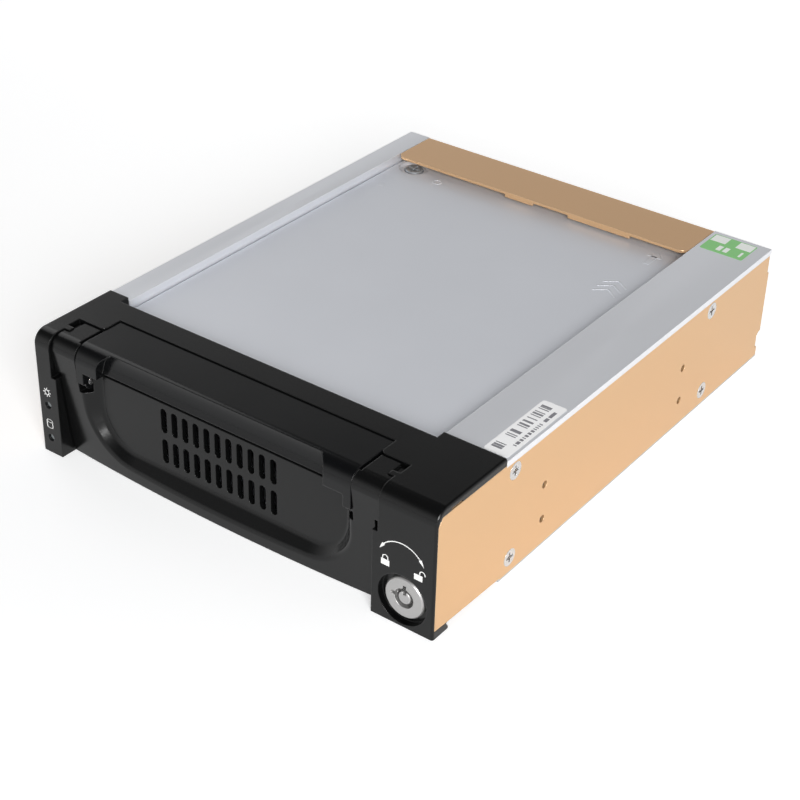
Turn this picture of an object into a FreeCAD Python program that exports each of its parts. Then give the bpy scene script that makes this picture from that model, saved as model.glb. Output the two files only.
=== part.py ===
import FreeCAD, Part
import math
import os

from FreeCAD import Vector

# Removable drive cage for a half-height 5.25 inch bay: an outer frame and a
# drive tray that slides out of its front. Millimetres. X is to the right seen
# from the front, Y goes back from the bezel's front plane, Z is up.
# Pieces are built with Y = 0 on the front plane and moved by half the depth
# when they are written, so that the origin is the centre of the base.

# ---- outer size and the two side compartments
cage_width = 146.0
cage_depth = 187.5
bezel_height = 41.6
rail_drop = 1.0
rear_bay_depth = 15.5
led_side_width = 8.2
lock_side_width = 20.8
sheet = 1.0
moulded_wall = 1.5

# ---- clearances
slide_gap = 0.4
lid_gap = 0.3
seam = 0.3
seat_gap = 0.1
pin_gap = 0.05
bay_clear = 0.2
rail_end_gap = 0.2
tongue_clear = 0.6
tongue_tip_clear = 0.8
fan_gap = 0.6

# ---- front bezel
bezel_depth = 31.75
band_rear = 28.5
bezel_top_thickness = 2.3
bezel_front_wall = 2.5
bezel_edge_radius = 4.5
side_lap_depth = 0.7
bezel_corner_radius = 0.8
band_corner_radius = 1.6
ear_rebate_depth = 7.0
ear_rebate = 1.8
finger_thickness = 0.9
finger_end = 8.8
notch_rear = 13.6
foot_length = 6.8
foot_height = 2.7
foot_chamfer = 1.4
plate_step_drop = 4.6
plate_step = 1.8
column_floor = 1.2
pocket_side = 0.5
foot_slope = 0.8
side_window_front = 6.3
side_window_length = 5.0
side_window_rise = 0.7

# ---- rails, plates
rail_wall = 1.4
rail_lip_height = 2.0
floor_lap = 0.15
guide_ledge = 2.0
ledge_height = 0.9
base_flange_height = 10.0
strip_depth = 20.0
strip_corner_radius = 3.0
panel_edge_radius = 0.8
tab_drop = 1.0
strip_tabs = ((-18.5, -7.2), (6.9, 30.9))
panel_foot = 9.0
panel_foot_width = 24.0
rear_tongue_low = 10.0
rear_tongue_high = 32.0
rear_notch_low = 4.2
rear_notch_depth = 1.2
apron_front = 9.0
floor_vent = (8.0, 2.4)
floor_vent_pitch = (14.0, 18.0)
floor_vent_columns = 6
floor_vent_rows = 5
panel_slots = 7
panel_slot_pitch = 6.0
panel_slot = (2.4, 9.0)
panel_slot_drop = 9.6

# ---- side mounting holes of the bay and the frame's own screws
bay_hole_front = 52.4
bay_hole_spacing_y = 79.25
bay_hole_low = 10.0
bay_hole_spacing_z = 11.84
bay_hole_radius = 1.25
bay_hole_relief = 0.6
screw_radius = 1.4
screw_head_radius = 2.8
screw_head_depth = 0.9
screw_cross = 3.2
screw_cross_width = 0.8
screw_cross_depth = 0.9
side_screw_front = 36.3
side_screw_from_rear = 40.1
side_screw_low = 6.0
side_screw_from_top = 5.3
screw_web_depth = 1.7
screw_web_margin = 4.0

# ---- tray front
tray_floor_lift = 1.3
rake_top = 0.9
rake_bottom = 5.0
rake_bottom_z = 0.6
front_bow = 2.1
straight_bow = 0.02
skirt_rear = 8.6
tray_front_bottom = 1.4
rake_top_drop = 4.6
tray_front_drop = 3.2
tray_front_rear = 13.0
ear_drop = 0.4
ear_height = 11.8
ear_step = 1.8
lobe_drop = 1.2
lobe_radius = 0.6
handle_slot_front = 4.2
handle_slot_width = 0.9
handle_slot_height = 5.2
recess_side_width = 9.2
recess_bottom = 5.2
recess_radius = 16.0
recess_floor_y = 6.4
recess_draft = 3.0
recess_flare = 2.86
recess_lip_radius = 1.8
recess_floor_radius = 2.0
finger_hollow_rear = 11.6
grille_columns = 11
grille_rows = 2
grille_pitch = 4.1
grille_shift = -1.0
grille_row_pitch = 10.5
slot_width = 2.3
slot_height = 8.2
grille_wall = 1.8
grille_hollow_side = 18.5
grille_hollow_bottom = 6.0
grille_hollow_drop = 4.6
front_screw_side = 5.5
front_screw_heights = (10.0, 24.0)
front_screw_radius = 1.1
front_screw_length = 5.0
front_screw_head = 2.8
front_screw_crown = 2.4
front_screw_head_height = 1.4

# ---- handle
handle_side = 7.9
handle_front = 1.0
handle_rear = 20.0
handle_plate = 2.0
handle_edge_radius = 5.0
leg_height = 7.8
leg_thickness = 5.4
leg_chamfer = 1.6
bar_height = 6.6
scoop_half_width = 42.4
scoop_short = 1.1
scoop_radius = 4.5
scoop_top_y = 4.6
scoop_bottom_y = 3.4
scoop_sag = 0.7
rib_places = (-36.0, -12.0, 12.0, 36.0)
rib_width = 1.2
rib_drop = 0.6
rib_from_rear = 3.0
pivot_y = 4.5
pivot_drop = 3.9
lug_radius = 2.6
lug_width = 2.6
pin_radius = 1.2
pin_grip = 5.0

# ---- tray pan, cover and catch
cover_drop = 3.1
pan_flange = 6.0
pan_lug_width = 7.0
pan_rear_drop = 4.2
pan_vent = (10.0, 3.0)
pan_vent_pitch = (16.0, 20.0)
pan_vent_columns = 5
pan_vent_rows = 6
pan_vent_front = 34.0
pan_slots = 7
pan_slot_pitch = 5.0
pan_slot = (2.4, 18.0)
pan_slot_height = 17.0
pan_slots_shift = 6.0
cover_front = 14.0
cover_overhang = 2.5
cover_travel = 8.0
cover_corner_radius = 2.0
hook_count = 3
hook_from_front = 26.0
hook_from_rear = 38.5
hook_width = 2.0
hook_length = 4.0
hook_foot = 3.0
catch_from_side = 6.7
catch_from_rear = 3.8
dimple_radius = 5.4
dimple_depth = 0.8
button_radius = 3.2
button_proud = 0.5
spring_wire = 0.35
spring_turns = 3.5
spring_height = 3.0
spring_radius = 1.8
button_rim = 0.9
button_rim_height = 0.8
button_cross = (4.6, 0.7)
strap_width = 4.4
strap_side = 3.4
strap_leg = 0.8
catch_well_depth = 5.7
catch_well_side = 8.0
catch_well_front = 1.6

# ---- 3.5 inch drive space and its bottom screw pattern
drive_width = 101.6
drive_hole_spacing_x = 95.25
drive_hole_spacing_y = 44.45
drive_hole_from_rear = 41.28
drive_hole_radius = 1.8
drive_from_pan_rear = 9.0
drive_pad = 0.4

# ---- boards and connectors
board = 1.6
dock_width = 58.0
dock_height = 9.0
tongue_thickness = 3.0
tongue_reach = 6.0
dock_shell = 2.0
dock_body_depth = 3.0
dock_tongue_side = 3.0
backplane_gap = 2.0
backplane_width = 64.0
backplane_foot = 2.6
board_drop = 6.2
board_hole_side = 3.0
board_hole_foot = 3.0
board_hole_top = 2.8
spacer_radius = 2.6
stud_radius = 1.5
stud_head = 1.2
power_port_size = (22.0, 9.0)
power_port_shift = -14.0
power_port_wall = 1.0
power_port_chamfer = 1.6
power_hollow_chamfer = 1.2
power_pin_pitch = 5.08
power_pin_radius = 1.05
power_pin_length = 2.4
power_pins = 4
data_port_size = (17.0, 7.0)
data_port_shift = 16.0
data_port_wall = 1.2
data_blade_half = 5.2
data_blade_thickness = 1.2
data_key_drop = 1.6
port_height = 9.0
port_floor = 0.8
tray_board_half_width = 50.0
tray_board_window_bottom = 10.0
tray_board_window_drop = 4.0
tray_board_window_side = 6.0
drive_socket_width = 38.0
drive_socket_height = 6.0
drive_port_height = 3.6
drive_port_from_side = 31.0
drive_socket_gap = 0.6
drive_socket_reach = 3.0
drive_lip = (1.0, 0.5)
drive_slots = ((3.0, 21.0), (24.0, 34.5))
drive_slot_height = 1.4

# ---- fan
fan_headroom = 3.2
fan_depth = 10.0
fan_rim = 1.3
fan_hole_side = 3.0
fan_hub_radius = 8.6
fan_seat = 1.4
fan_spoke = 2.2
fan_shaft_radius = 1.0
fan_screw_head = 2.6
fan_screw_head_height = 1.1
fan_screw_radius = 1.4
guard_bar = 1.6
guard_hub = 5.0
guard_ring = (9.8, 11.4)
fan_guard_overlap = 0.7
fan_corner_radius = 2.5
fan_spoke_turns = (45, 165, 285)
fan_shaft_length = 6.0
fan_shaft_root = 1.0
fan_hub_edge = 1.0
blade_leans = (38.0, 24.0)
blade_root = 0.6
fan_blades = 7
blade_thickness = 0.9
fan_from_right = 25.2
fan_hole_radius = 1.5

# ---- key lock
lock_from_side = 10.3
lock_z = 8.9
lock_recess_radius = 8.05
lock_recess_depth = 2.2
lock_face_radius = 6.4
lock_face_y = 0.8
lock_body_radius = 5.7
lock_body_length = 21.0
lock_nut_width = 14.0
lock_nut_thickness = 2.5
lock_seat = 2.2
barrel_tail_radius = 2.2
barrel_tail = 5.5
switch_radius = 6.2
switch_depth = 3.4
switch_gap = 0.6
switch_bracket_side = 1.2
switch_bracket_thickness = 1.2
switch_bracket_reach = 7.0
switch_bracket_top = 4.2
switch_tag = (1.8, 0.6)
switch_tag_length = 2.4
switch_tag_aside = 2.6
switch_tag_height = 3.0
key_slot_outer = 3.1
key_slot_inner = 2.0
key_slot_depth = 4.0
key_notch = 1.1
key_notch_width = 1.1
key_notch_depth = 1.6
key_post_groove = 1.0
key_groove_depth = 2.4
key_groove_inner = 0.9
tail_reach = 0.3
barrel_overrun = 0.2
key_notch_angles = (89.0, 172.0)
tongue_length = 13.2
tongue_width = 6.0
tongue_plate = 2.0
tongue_root = 1.2
tongue_slack = 0.4

# ---- indicators
light_pipe_from_side = 3.8
light_pipe_radius = 1.2
light_pipe_front = 1.0
light_pipe_length = 6.6
light_pipe_collar = 1.2
light_heights = (5.5, 17.1)
lamp_radius = 1.5
lamp_length = 2.6
lamp_front = 8.4
lamp_board = 1.0
lamp_board_depth = 17.0
lamp_board_foot = 3.0
lamp_board_top = 6.9

# ---- derived positions
half_width = cage_width / 2
bay_left = -half_width + led_side_width
bay_right = half_width - lock_side_width
bay_x = (bay_left + bay_right) / 2
bay_half = (bay_right - bay_left) / 2
bezel_under = bezel_height - bezel_top_thickness
rail_top = bezel_height - rail_drop
plate_top = rail_top - rail_lip_height
plate_step_top = bezel_height - plate_step_drop
side_screw_rear = cage_depth - side_screw_from_rear
side_screw_high = rail_top - side_screw_from_top
strip_front = cage_depth - strip_depth
panel_front = cage_depth - sheet
wall_top = rail_top - rail_wall - seat_gap

ear_top = bezel_height - ear_drop
ear_bottom = ear_top - ear_height
ear_step_height = ear_bottom - ear_step
lobe_top = bezel_height - lobe_drop
rake_top_z = bezel_height - rake_top_drop
tray_front_top = bezel_height - tray_front_drop
recess_half_width = bay_half - recess_side_width
front_screw_x = bay_half - front_screw_side

handle_half_width = bay_half - handle_side
handle_top = ear_top
leg_bottom = handle_top - leg_height
bar_bottom = handle_top - bar_height
front_split_z = leg_bottom - slide_gap
grille_centre_z = (recess_bottom + bar_bottom) / 2
pivot_z = leg_bottom - pivot_drop
lug_outer = handle_half_width
lug_inner = handle_half_width - lug_width

tray_bottom = sheet + tray_floor_lift
pan_half = bay_half - slide_gap - seat_gap
pan_floor_top = tray_bottom + sheet
cover_top = rail_top - cover_drop
cover_bottom = cover_top - sheet
pan_height = cover_bottom - lid_gap
pan_rear = cage_depth - rear_bay_depth
cover_rear = pan_rear + cover_overhang
catch_x = bay_x - pan_half + catch_from_side
catch_y = pan_rear - catch_from_rear
drive_rear = pan_rear - drive_from_pan_rear
board_top = pan_height - board_drop
dock_centre_z = (pan_floor_top + board_top) / 2

fan_size = wall_top + seat_gap - sheet - fan_headroom
fan_bore = fan_size / 2 - fan_rim
fan_hole_spacing = fan_size - 2 * fan_hole_side
fan_centre_x = bay_right - fan_from_right
fan_centre_z = sheet + fan_size / 2
fan_rear = panel_front
fan_front = fan_rear - fan_depth
tray_board_front = pan_rear - 2 * sheet - board
plug_front = tray_board_front + board
backplane_rear = panel_front - backplane_gap
backplane_front = backplane_rear - board
backplane_x = fan_centre_x - fan_size / 2 - 3 * sheet - backplane_width / 2

lock_x = half_width - lock_from_side
lock_tongue_y = lock_face_y + lock_body_length + barrel_overrun + tail_reach
lock_seat_y = bezel_front_wall + lock_seat
light_pipe_x = -half_width + light_pipe_from_side


def box(x0, x1, y0, y1, z0, z1):
    return Part.makeBox(x1 - x0, y1 - y0, z1 - z0, Vector(x0, y0, z0))


def rod(radius, length, x, y, z, along):
    return Part.makeCylinder(radius, length, Vector(x, y, z), Vector(*along))


def prism(points, along):
    """Extrude a closed polygon of 3-D points by a vector."""
    outline = Part.makePolygon([Vector(*p) for p in points + points[:1]])
    return Part.Face(outline).extrude(Vector(*along))


def plan(points, z0, z1):
    return prism([(x, y, z0) for x, y in points], (0, 0, z1 - z0))


def side_profile(points, x0, x1):
    return prism([(x0, y, z) for y, z in points], (x1 - x0, 0, 0))


def front_profile(points, y0, y1):
    return prism([(x, y0, z) for x, z in points], (0, y1 - y0, 0))


def round_edges(shape, radius, wanted):
    """Fillet the edges whose middle and direction pass the test."""
    chosen = []
    for edge in shape.Edges:
        middle = edge.valueAt((edge.FirstParameter + edge.LastParameter) / 2)
        if wanted(edge, middle):
            chosen.append(edge)
    return shape.makeFillet(radius, chosen)


def runs_along(edge, axis):
    if not isinstance(edge.Curve, Part.Line):
        return False
    return abs(abs(getattr(edge.Curve.Direction, axis)) - 1) < 1e-6


def near(a, b):
    return abs(a - b) < 1e-4


def mirror_in_bay(shape):
    return shape.mirror(Vector(bay_x, 0, 0), Vector(1, 0, 0))


def both_bay_sides(shape):
    return [shape, mirror_in_bay(shape)]


def ring(points, centre, along):
    """Revolve a closed profile of (radius, height) pairs about an axis."""
    outline = Part.makePolygon([Vector(r, 0, h) for r, h in points + points[:1]])
    solid = Part.Face(outline).revolve(Vector(0, 0, 0), Vector(0, 0, 1), 360)
    solid.Placement = FreeCAD.Placement(
        Vector(*centre), FreeCAD.Rotation(Vector(0, 0, 1), Vector(*along)))
    return solid


def rounded_slot(x, y0, y1, z, width, height):
    """A through slot along Y with half-round upper and lower ends."""
    half = height / 2 - width / 2
    body = box(x - width / 2, x + width / 2, y0, y1, z - half, z + half)
    ends = [rod(width / 2, y1 - y0, x, y0, z + s * half, (0, 1, 0)) for s in (-1, 1)]
    return body.fuse(ends).removeSplitter()


def recess_outline(grow, y_at):
    """The finger recess's outline in the plane y_at(z), open corners at the top."""
    x0 = bay_x - recess_half_width - grow
    x1 = bay_x + recess_half_width + grow
    z0 = recess_bottom - grow
    z1 = front_split_z + 6.0
    radius = recess_radius + grow
    bend = radius * (1 - math.sqrt(0.5))

    def at(x, z):
        return Vector(x, y_at(z), z)

    return Part.Wire([
        Part.makeLine(at(x0, z1), at(x0, z0 + radius)),
        Part.Arc(at(x0, z0 + radius), at(x0 + bend, z0 + bend), at(x0 + radius, z0)).toShape(),
        Part.makeLine(at(x0 + radius, z0), at(x1 - radius, z0)),
        Part.Arc(at(x1 - radius, z0), at(x1 - bend, z0 + bend), at(x1, z0 + radius)).toShape(),
        Part.makeLine(at(x1, z0 + radius), at(x1, z1)),
        Part.makeLine(at(x1, z1), at(x0, z1)),
    ])


# ---- frame ---------------------------------------------------------------

def front_bezel():
    block = box(-half_width, half_width, 0, bezel_depth, 0, bezel_height)
    block = round_edges(block, bezel_edge_radius, lambda e, m: (
        runs_along(e, "x") and near(m.y, 0) and near(m.z, bezel_height)))
    block = round_edges(block, bezel_corner_radius, lambda e, m: (
        runs_along(e, "z") and near(m.y, 0)))
    cuts = []
    # The bay and the wider rebate that the tray's ears fill at the front.
    opening = bay_half + bay_clear
    wide = opening + ear_rebate
    cuts.append(box(bay_x - opening, bay_x + opening, -1, bezel_depth + 1, -1, bezel_under))
    cuts.append(box(bay_x - wide, bay_x + wide, -1, ear_rebate_depth, ear_step_height,
                    bezel_height + 1))
    # Under the retaining fingers the ear's lobes have a channel of their own.
    finger_under = bezel_height - finger_thickness
    cuts.append(box(bay_x - wide, bay_x + wide, -1, notch_rear,
                    bezel_under - seam, finger_under))
    # Band recess for the handle, and the notches beside it for the ears.
    handle_cut = handle_half_width + seam
    band_cut = box(bay_x - handle_cut, bay_x + handle_cut, -1, handle_rear + seam + seat_gap,
                   bezel_under - 1, bezel_height + 1)
    cuts.append(band_cut)
    notch = box(bay_x - bay_half, bay_x + bay_half, -1, notch_rear,
                bezel_under - 1, bezel_height + 1)
    cuts.append(notch)
    pocket = box(bay_x - wide - pocket_side, bay_x + wide + pocket_side, finger_end, notch_rear,
                 bezel_under - seam, bezel_height + 1)
    cuts.append(pocket)
    # The band is shallower than the columns behind it.
    cuts.append(box(bay_x - opening, bay_x + opening, band_rear, bezel_depth + 1,
                    bezel_under - 1, bezel_height + 1))
    # Hollow columns, open at the back.
    inner = moulded_wall
    left_in = -half_width + sheet + column_floor
    right_in = half_width - sheet - column_floor
    top_in = bezel_under - bay_clear
    cuts.append(box(left_in, bay_x - opening - inner, bezel_front_wall, bezel_depth + 1,
                    column_floor, ear_step_height - inner))
    cuts.append(box(left_in, bay_x - wide - inner, bezel_front_wall, bezel_depth + 1,
                    column_floor, top_in - inner))
    cuts.append(box(bay_x + opening + inner, right_in, lock_seat_y,
                    bezel_depth + 1, column_floor, ear_step_height - inner))
    cuts.append(box(bay_x + wide + inner, right_in, bezel_front_wall, bezel_depth + 1,
                    ear_step_height - inner - 1, top_in - inner))
    # The side plates lap the columns to just behind the front face.
    for side in (-1, 1):
        outer = side * (half_width + 1)
        face = side * (half_width - sheet)
        low, high = min(outer, face), max(outer, face)
        lap = [(side_lap_depth, foot_height), (side_lap_depth, plate_step_top),
               (side_lap_depth + plate_step, bezel_under), (bezel_depth + 1, bezel_under),
               (bezel_depth + 1, -1), (foot_length + 1, -1), (foot_length, column_floor)]
        lap.append((foot_length - foot_slope, foot_height - seam))
        cuts.append(side_profile(lap, low, high))
        cuts.append(box(low, high, side_window_front, side_window_front + side_window_length,
                        bezel_under - 0.1, bezel_under + side_window_rise))
    # Behind the foot the column stands clear of the floor plate's flange.
    cuts.append(side_profile([(foot_length, -1), (foot_length, 0),
                              (foot_length + foot_chamfer, sheet),
                              (bezel_depth + 1, sheet), (bezel_depth + 1, -1)],
                             -half_width - 1, half_width + 1))
    # Key lock: round recess, then the bore for its body.
    cuts.append(rod(lock_recess_radius, lock_recess_depth + 1, lock_x, -1, lock_z, (0, 1, 0)))
    cuts.append(rod(lock_body_radius + pin_gap, bezel_depth, lock_x, -1, lock_z, (0, 1, 0)))
    # The lock's tongue swings through the bay wall.
    swing = tongue_length + tongue_tip_clear
    cuts.append(box(bay_right - 1, lock_x - 2, lock_tongue_y - tongue_clear,
                    lock_tongue_y + tongue_plate + tongue_clear,
                    lock_z - tongue_width / 2 - tongue_clear,
                    lock_z + math.sqrt(swing ** 2 - (lock_x - bay_right - 2) ** 2)))
    for height in light_heights:
        cuts.append(rod(light_pipe_radius + pin_gap, bezel_front_wall + 3, light_pipe_x, -1,
                        height, (0, 1, 0)))
    shell = block.cut(cuts)
    shell = round_edges(shell, band_corner_radius, lambda e, m: (
        runs_along(e, "z") and near(m.y, notch_rear)
        and near(abs(m.x - bay_x), handle_cut) and m.z > bezel_under))
    return shell.removeSplitter()


def side_plate(side):
    outer = side * half_width
    inner = side * (half_width - sheet)
    gap = seat_gap
    rear = panel_front
    notch = rear - rear_notch_depth
    outline = [(side_lap_depth + gap, foot_height + gap),
               (side_lap_depth + gap, plate_step_top - gap),
               (side_lap_depth + plate_step, bezel_under - gap),
               (bezel_depth + gap, bezel_under - gap), (bezel_depth + gap, plate_top),
               (rear, plate_top), (rear, rear_tongue_high), (cage_depth, rear_tongue_high),
               (cage_depth, rear_tongue_low), (rear, rear_tongue_low),
               (notch, rear_tongue_low - sheet), (notch, rear_notch_low),
               (rear, rear_notch_low), (rear, sheet), (bezel_depth, sheet),
               (bezel_depth, sheet + slide_gap),
               (foot_length + gap, foot_height - seam)]
    plate = side_profile(outline, min(outer, inner), max(outer, inner))
    holes = []
    for y in (bay_hole_front, bay_hole_front + bay_hole_spacing_y):
        for z in (bay_hole_low, bay_hole_low + bay_hole_spacing_z):
            holes.append(rod(bay_hole_radius, 4 * sheet, outer + 2 * side * sheet, y, z,
                             (-side, 0, 0)))
    for y in (side_screw_front, side_screw_rear):
        for z in (side_screw_low, side_screw_high):
            holes.append(countersink(outer, y, z, side))
    return plate.cut(holes)


def countersink(x, y, z, side):
    """Room for one flat-head screw, its head flush with the face at x."""
    r0 = screw_head_radius
    r1 = screw_radius + pin_gap
    profile = [(0, -1), (r0, -1), (r0, 0), (r1, screw_head_depth), (r1, 3 * sheet),
               (0, 3 * sheet)]
    return ring(profile, (x, y, z), (-side, 0, 0))


def flat_screw(x, y, z, side):
    r0 = screw_head_radius - pin_gap
    r1 = screw_radius
    profile = [(0, 0), (r0, 0), (r1, screw_head_depth), (r1, 3 * sheet), (0, 3 * sheet)]
    screw = ring(profile, (x, y, z), (-side, 0, 0))
    half = screw_cross / 2
    wing = screw_cross_width / 2
    depth = x - side * screw_cross_depth
    low_x, high_x = sorted((x + side, depth))
    cross = [box(low_x, high_x, y - half, y + half, z - wing, z + wing),
             box(low_x, high_x, y - wing, y + wing, z - half, z + half)]
    return screw.cut(cross)


def side_screws():
    heads = []
    for side in (-1, 1):
        for y in (side_screw_front, side_screw_rear):
            for z in (side_screw_low, side_screw_high):
                heads.append(flat_screw(side * half_width, y, z, side))
    return Part.makeCompound(heads)


def rail(side):
    """Aluminium extrusion: top flange, bay wall, guide ledge and screw web."""
    outer = half_width
    bay = bay_right if side > 0 else -bay_left
    flange = rail_top - rail_wall
    web = outer - sheet
    screw_web = web - screw_web_depth
    web_bottom = side_screw_high - screw_web_margin
    ledge_top = sheet + ledge_height
    profile = [
        (outer, rail_top), (bay, rail_top), (bay, ledge_top),
        (bay - guide_ledge, ledge_top), (bay - guide_ledge, sheet),
        (bay + rail_wall, sheet), (bay + rail_wall, flange),
        (screw_web, flange), (screw_web, web_bottom), (web, web_bottom),
        (web, plate_top), (outer, plate_top)]
    front = bezel_depth + seat_gap
    shape = front_profile([(side * x, z) for x, z in profile], front,
                          cage_depth - rail_end_gap)
    ends = box(-outer, outer, panel_front, cage_depth + 1, 0, flange)
    # Behind the tray the guide ledge gives way to the rear electronics.
    low_x, high_x = sorted((side * bay, side * (bay - guide_ledge - 1)))
    ledge = box(low_x, high_x, pan_rear, cage_depth + 1, 0, ledge_top)
    holes = [rod(screw_radius, 4 * sheet, side * (outer + 1), y, side_screw_high,
                 (-side, 0, 0)) for y in (side_screw_front, side_screw_rear)]
    return shape.cut([ends, ledge] + holes)


def bottom_plate():
    """Floor of the frame, turned up along both sides."""
    edge = half_width - seam
    web = half_width - sheet
    base = box(-edge, edge, bezel_depth - floor_lap, cage_depth - rail_end_gap, 0, sheet)
    apron_half = bay_half - slide_gap
    apron = box(bay_x - apron_half, bay_x + apron_half, apron_front, bezel_depth, 0, sheet)
    sides = []
    for side in (-1, 1):
        x0 = side * web
        x1 = side * (web - sheet)
        sides.append(box(min(x0, x1), max(x0, x1), bezel_depth + seat_gap, panel_front,
                         sheet / 2, base_flange_height))
    plate = base.fuse([apron] + sides).removeSplitter()
    cuts = []
    for side in (-1, 1):
        for y in (side_screw_front, side_screw_rear):
            cuts.append(rod(screw_radius, 5 * sheet, side * (half_width + 1), y,
                            side_screw_low, (-side, 0, 0)))
        for y in (bay_hole_front, bay_hole_front + bay_hole_spacing_y):
            cuts.append(rod(bay_hole_radius + bay_hole_relief, 5 * sheet, side * (half_width + 1), y,
                            bay_hole_low, (-side, 0, 0)))
    # Cooling slots under the drive.
    middle = (bezel_depth + drive_rear) / 2
    cuts.extend(slot_field(middle, floor_vent, floor_vent_pitch, floor_vent_columns,
                           floor_vent_rows, 0))
    return plate.cut(cuts)


def slot_field(middle_y, size, pitch, columns, rows, bottom):
    """Rows of short slots through a sheet that lies at a height."""
    slots = []
    for row in range(rows):
        for column in range(columns):
            x = bay_x + (column - (columns - 1) / 2) * pitch[0]
            y = middle_y + (row - (rows - 1) / 2) * pitch[1]
            slots.append(box(x - size[0] / 2, x + size[0] / 2, y - size[1] / 2,
                             y + size[1] / 2, bottom - 1, bottom + sheet + 1))
    return slots


def rear_panel():
    """Rear wall with a wide flange over the bay and a foot on the floor."""
    side_edge = half_width - sheet - seat_gap
    bay_edge = bay_half - seam
    wall = box(-side_edge, side_edge, panel_front, cage_depth, sheet, wall_top)
    upper = box(bay_x - bay_edge, bay_x + bay_edge, panel_front, cage_depth, wall_top - 1,
                rail_top)
    strip = box(bay_x - bay_edge, bay_x + bay_edge, strip_front, cage_depth,
                rail_top - sheet, rail_top)
    strip = round_edges(strip, strip_corner_radius, lambda e, m: (
        runs_along(e, "z") and near(m.y, strip_front)))
    tabs = [box(x0, x1, strip_front, strip_front + sheet, rail_top - sheet - tab_drop,
                rail_top - sheet / 2) for x0, x1 in strip_tabs]
    foot = box(bay_left + seam, bay_left + panel_foot_width, panel_front - panel_foot,
               cage_depth - sheet / 2, sheet, 2 * sheet)
    panel = wall.fuse([upper, strip, foot] + tabs).removeSplitter()
    panel = round_edges(panel, panel_edge_radius, lambda e, m: (
        runs_along(e, "x") and near(m.y, cage_depth) and near(m.z, rail_top)))
    cuts = [rod(fan_bore - fan_guard_overlap, 4.0, fan_centre_x, panel_front - 1, fan_centre_z,
                (0, 1, 0))]
    half = fan_hole_spacing / 2
    for dx in (-half, half):
        for dz in (-half, half):
            cuts.append(rod(fan_hole_radius, 4.0, fan_centre_x + dx, panel_front - 1,
                            fan_centre_z + dz, (0, 1, 0)))
    for x, z, width, height in (power_place(), data_place()):
        cuts.append(box(x - width / 2 - 0.2, x + width / 2 + 0.2, panel_front - 1,
                        cage_depth + 1, z - height / 2 - 0.2, z + height / 2 + 0.2))
    for column in range(panel_slots):
        x = backplane_x + (column - (panel_slots - 1) / 2) * panel_slot_pitch
        cuts.append(rounded_slot(x, panel_front - 1, cage_depth + 1,
                                 rail_top - panel_slot_drop, *panel_slot))
    panel = panel.cut(cuts)
    # Three crossed bars guard the fan's opening.
    guard = []
    for turn in (0, 60, 120):
        bar = box(-fan_bore, fan_bore, panel_front, cage_depth, -guard_bar / 2, guard_bar / 2)
        bar.rotate(Vector(0, 0, 0), Vector(0, 1, 0), turn)
        bar.translate(Vector(fan_centre_x, 0, fan_centre_z))
        guard.append(bar)
    hub = rod(guard_hub, sheet, fan_centre_x, panel_front, fan_centre_z, (0, 1, 0))
    inside, outside = [rod(radius, sheet, fan_centre_x, panel_front, fan_centre_z, (0, 1, 0))
                       for radius in guard_ring]
    middle_ring = outside.cut(inside)
    return panel.fuse(guard + [hub, middle_ring]).removeSplitter()


# ---- rear electronics ------------------------------------------------------

def power_place():
    return (backplane_x + power_port_shift, port_height, *power_port_size)


def data_place():
    return (backplane_x + data_port_shift, port_height, *data_port_size)


def board_hole_places():
    """X and Z of the backplane board's four fixing holes."""
    half = backplane_width / 2 - board_hole_side
    heights = (backplane_foot + board_hole_foot, board_top - board_hole_top)
    return [(backplane_x + dx, z) for dx in (-half, half) for z in heights]


def backplane_board():
    x0 = backplane_x - backplane_width / 2
    card = box(x0, x0 + backplane_width, backplane_front, backplane_rear, backplane_foot,
               board_top)
    holes = [rod(stud_radius + seat_gap, 4.0, x, backplane_front - 1, z, (0, 1, 0))
             for x, z in board_hole_places()]
    return card.cut(holes)


def backplane_spacers():
    """Four threaded spacers between the board and the rear panel."""
    posts = []
    for x, z in board_hole_places():
        post = rod(spacer_radius, backplane_gap, x, backplane_rear, z, (0, 1, 0))
        stud = rod(stud_radius, board, x, backplane_front, z, (0, 1, 0))
        head = rod(spacer_radius, stud_head, x, backplane_front - stud_head, z, (0, 1, 0))
        posts.append(post.fuse([stud, head]).removeSplitter())
    return Part.makeCompound(posts)


def dock_socket():
    """Frame half of the docking connector, open towards the tray."""
    half = dock_width / 2 + dock_shell
    front = plug_front + dock_body_depth + 0.5
    z0 = dock_centre_z - dock_height / 2
    z1 = dock_centre_z + dock_height / 2
    body = box(backplane_x - half, backplane_x + half, front, backplane_front, z0, z1)
    body = round_edges(body, 1.0, lambda e, m: runs_along(e, "y"))
    gap = tongue_thickness / 2 + seam
    slot_half = dock_width / 2 - dock_tongue_side + seam + 0.2
    slot = box(backplane_x - slot_half, backplane_x + slot_half, front - 1,
               front + tongue_reach + 0.5, dock_centre_z - gap, dock_centre_z + gap)
    return body.cut(slot)


def dock_plug():
    """Tray half of the docking connector: a body and its contact tongue."""
    half = dock_width / 2 + dock_shell
    z0 = dock_centre_z - dock_height / 2
    z1 = dock_centre_z + dock_height / 2
    rear = plug_front + dock_body_depth
    body = box(backplane_x - half, backplane_x + half, plug_front, rear, z0, z1)
    tongue_half = dock_width / 2 - dock_tongue_side
    tongue = box(backplane_x - tongue_half, backplane_x + tongue_half, rear - 0.5,
                 rear + tongue_reach, dock_centre_z - tongue_thickness / 2,
                 dock_centre_z + tongue_thickness / 2)
    tongue = round_edges(tongue, 0.6, lambda e, m: m.y > rear)
    return body.fuse(tongue).removeSplitter()


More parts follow.
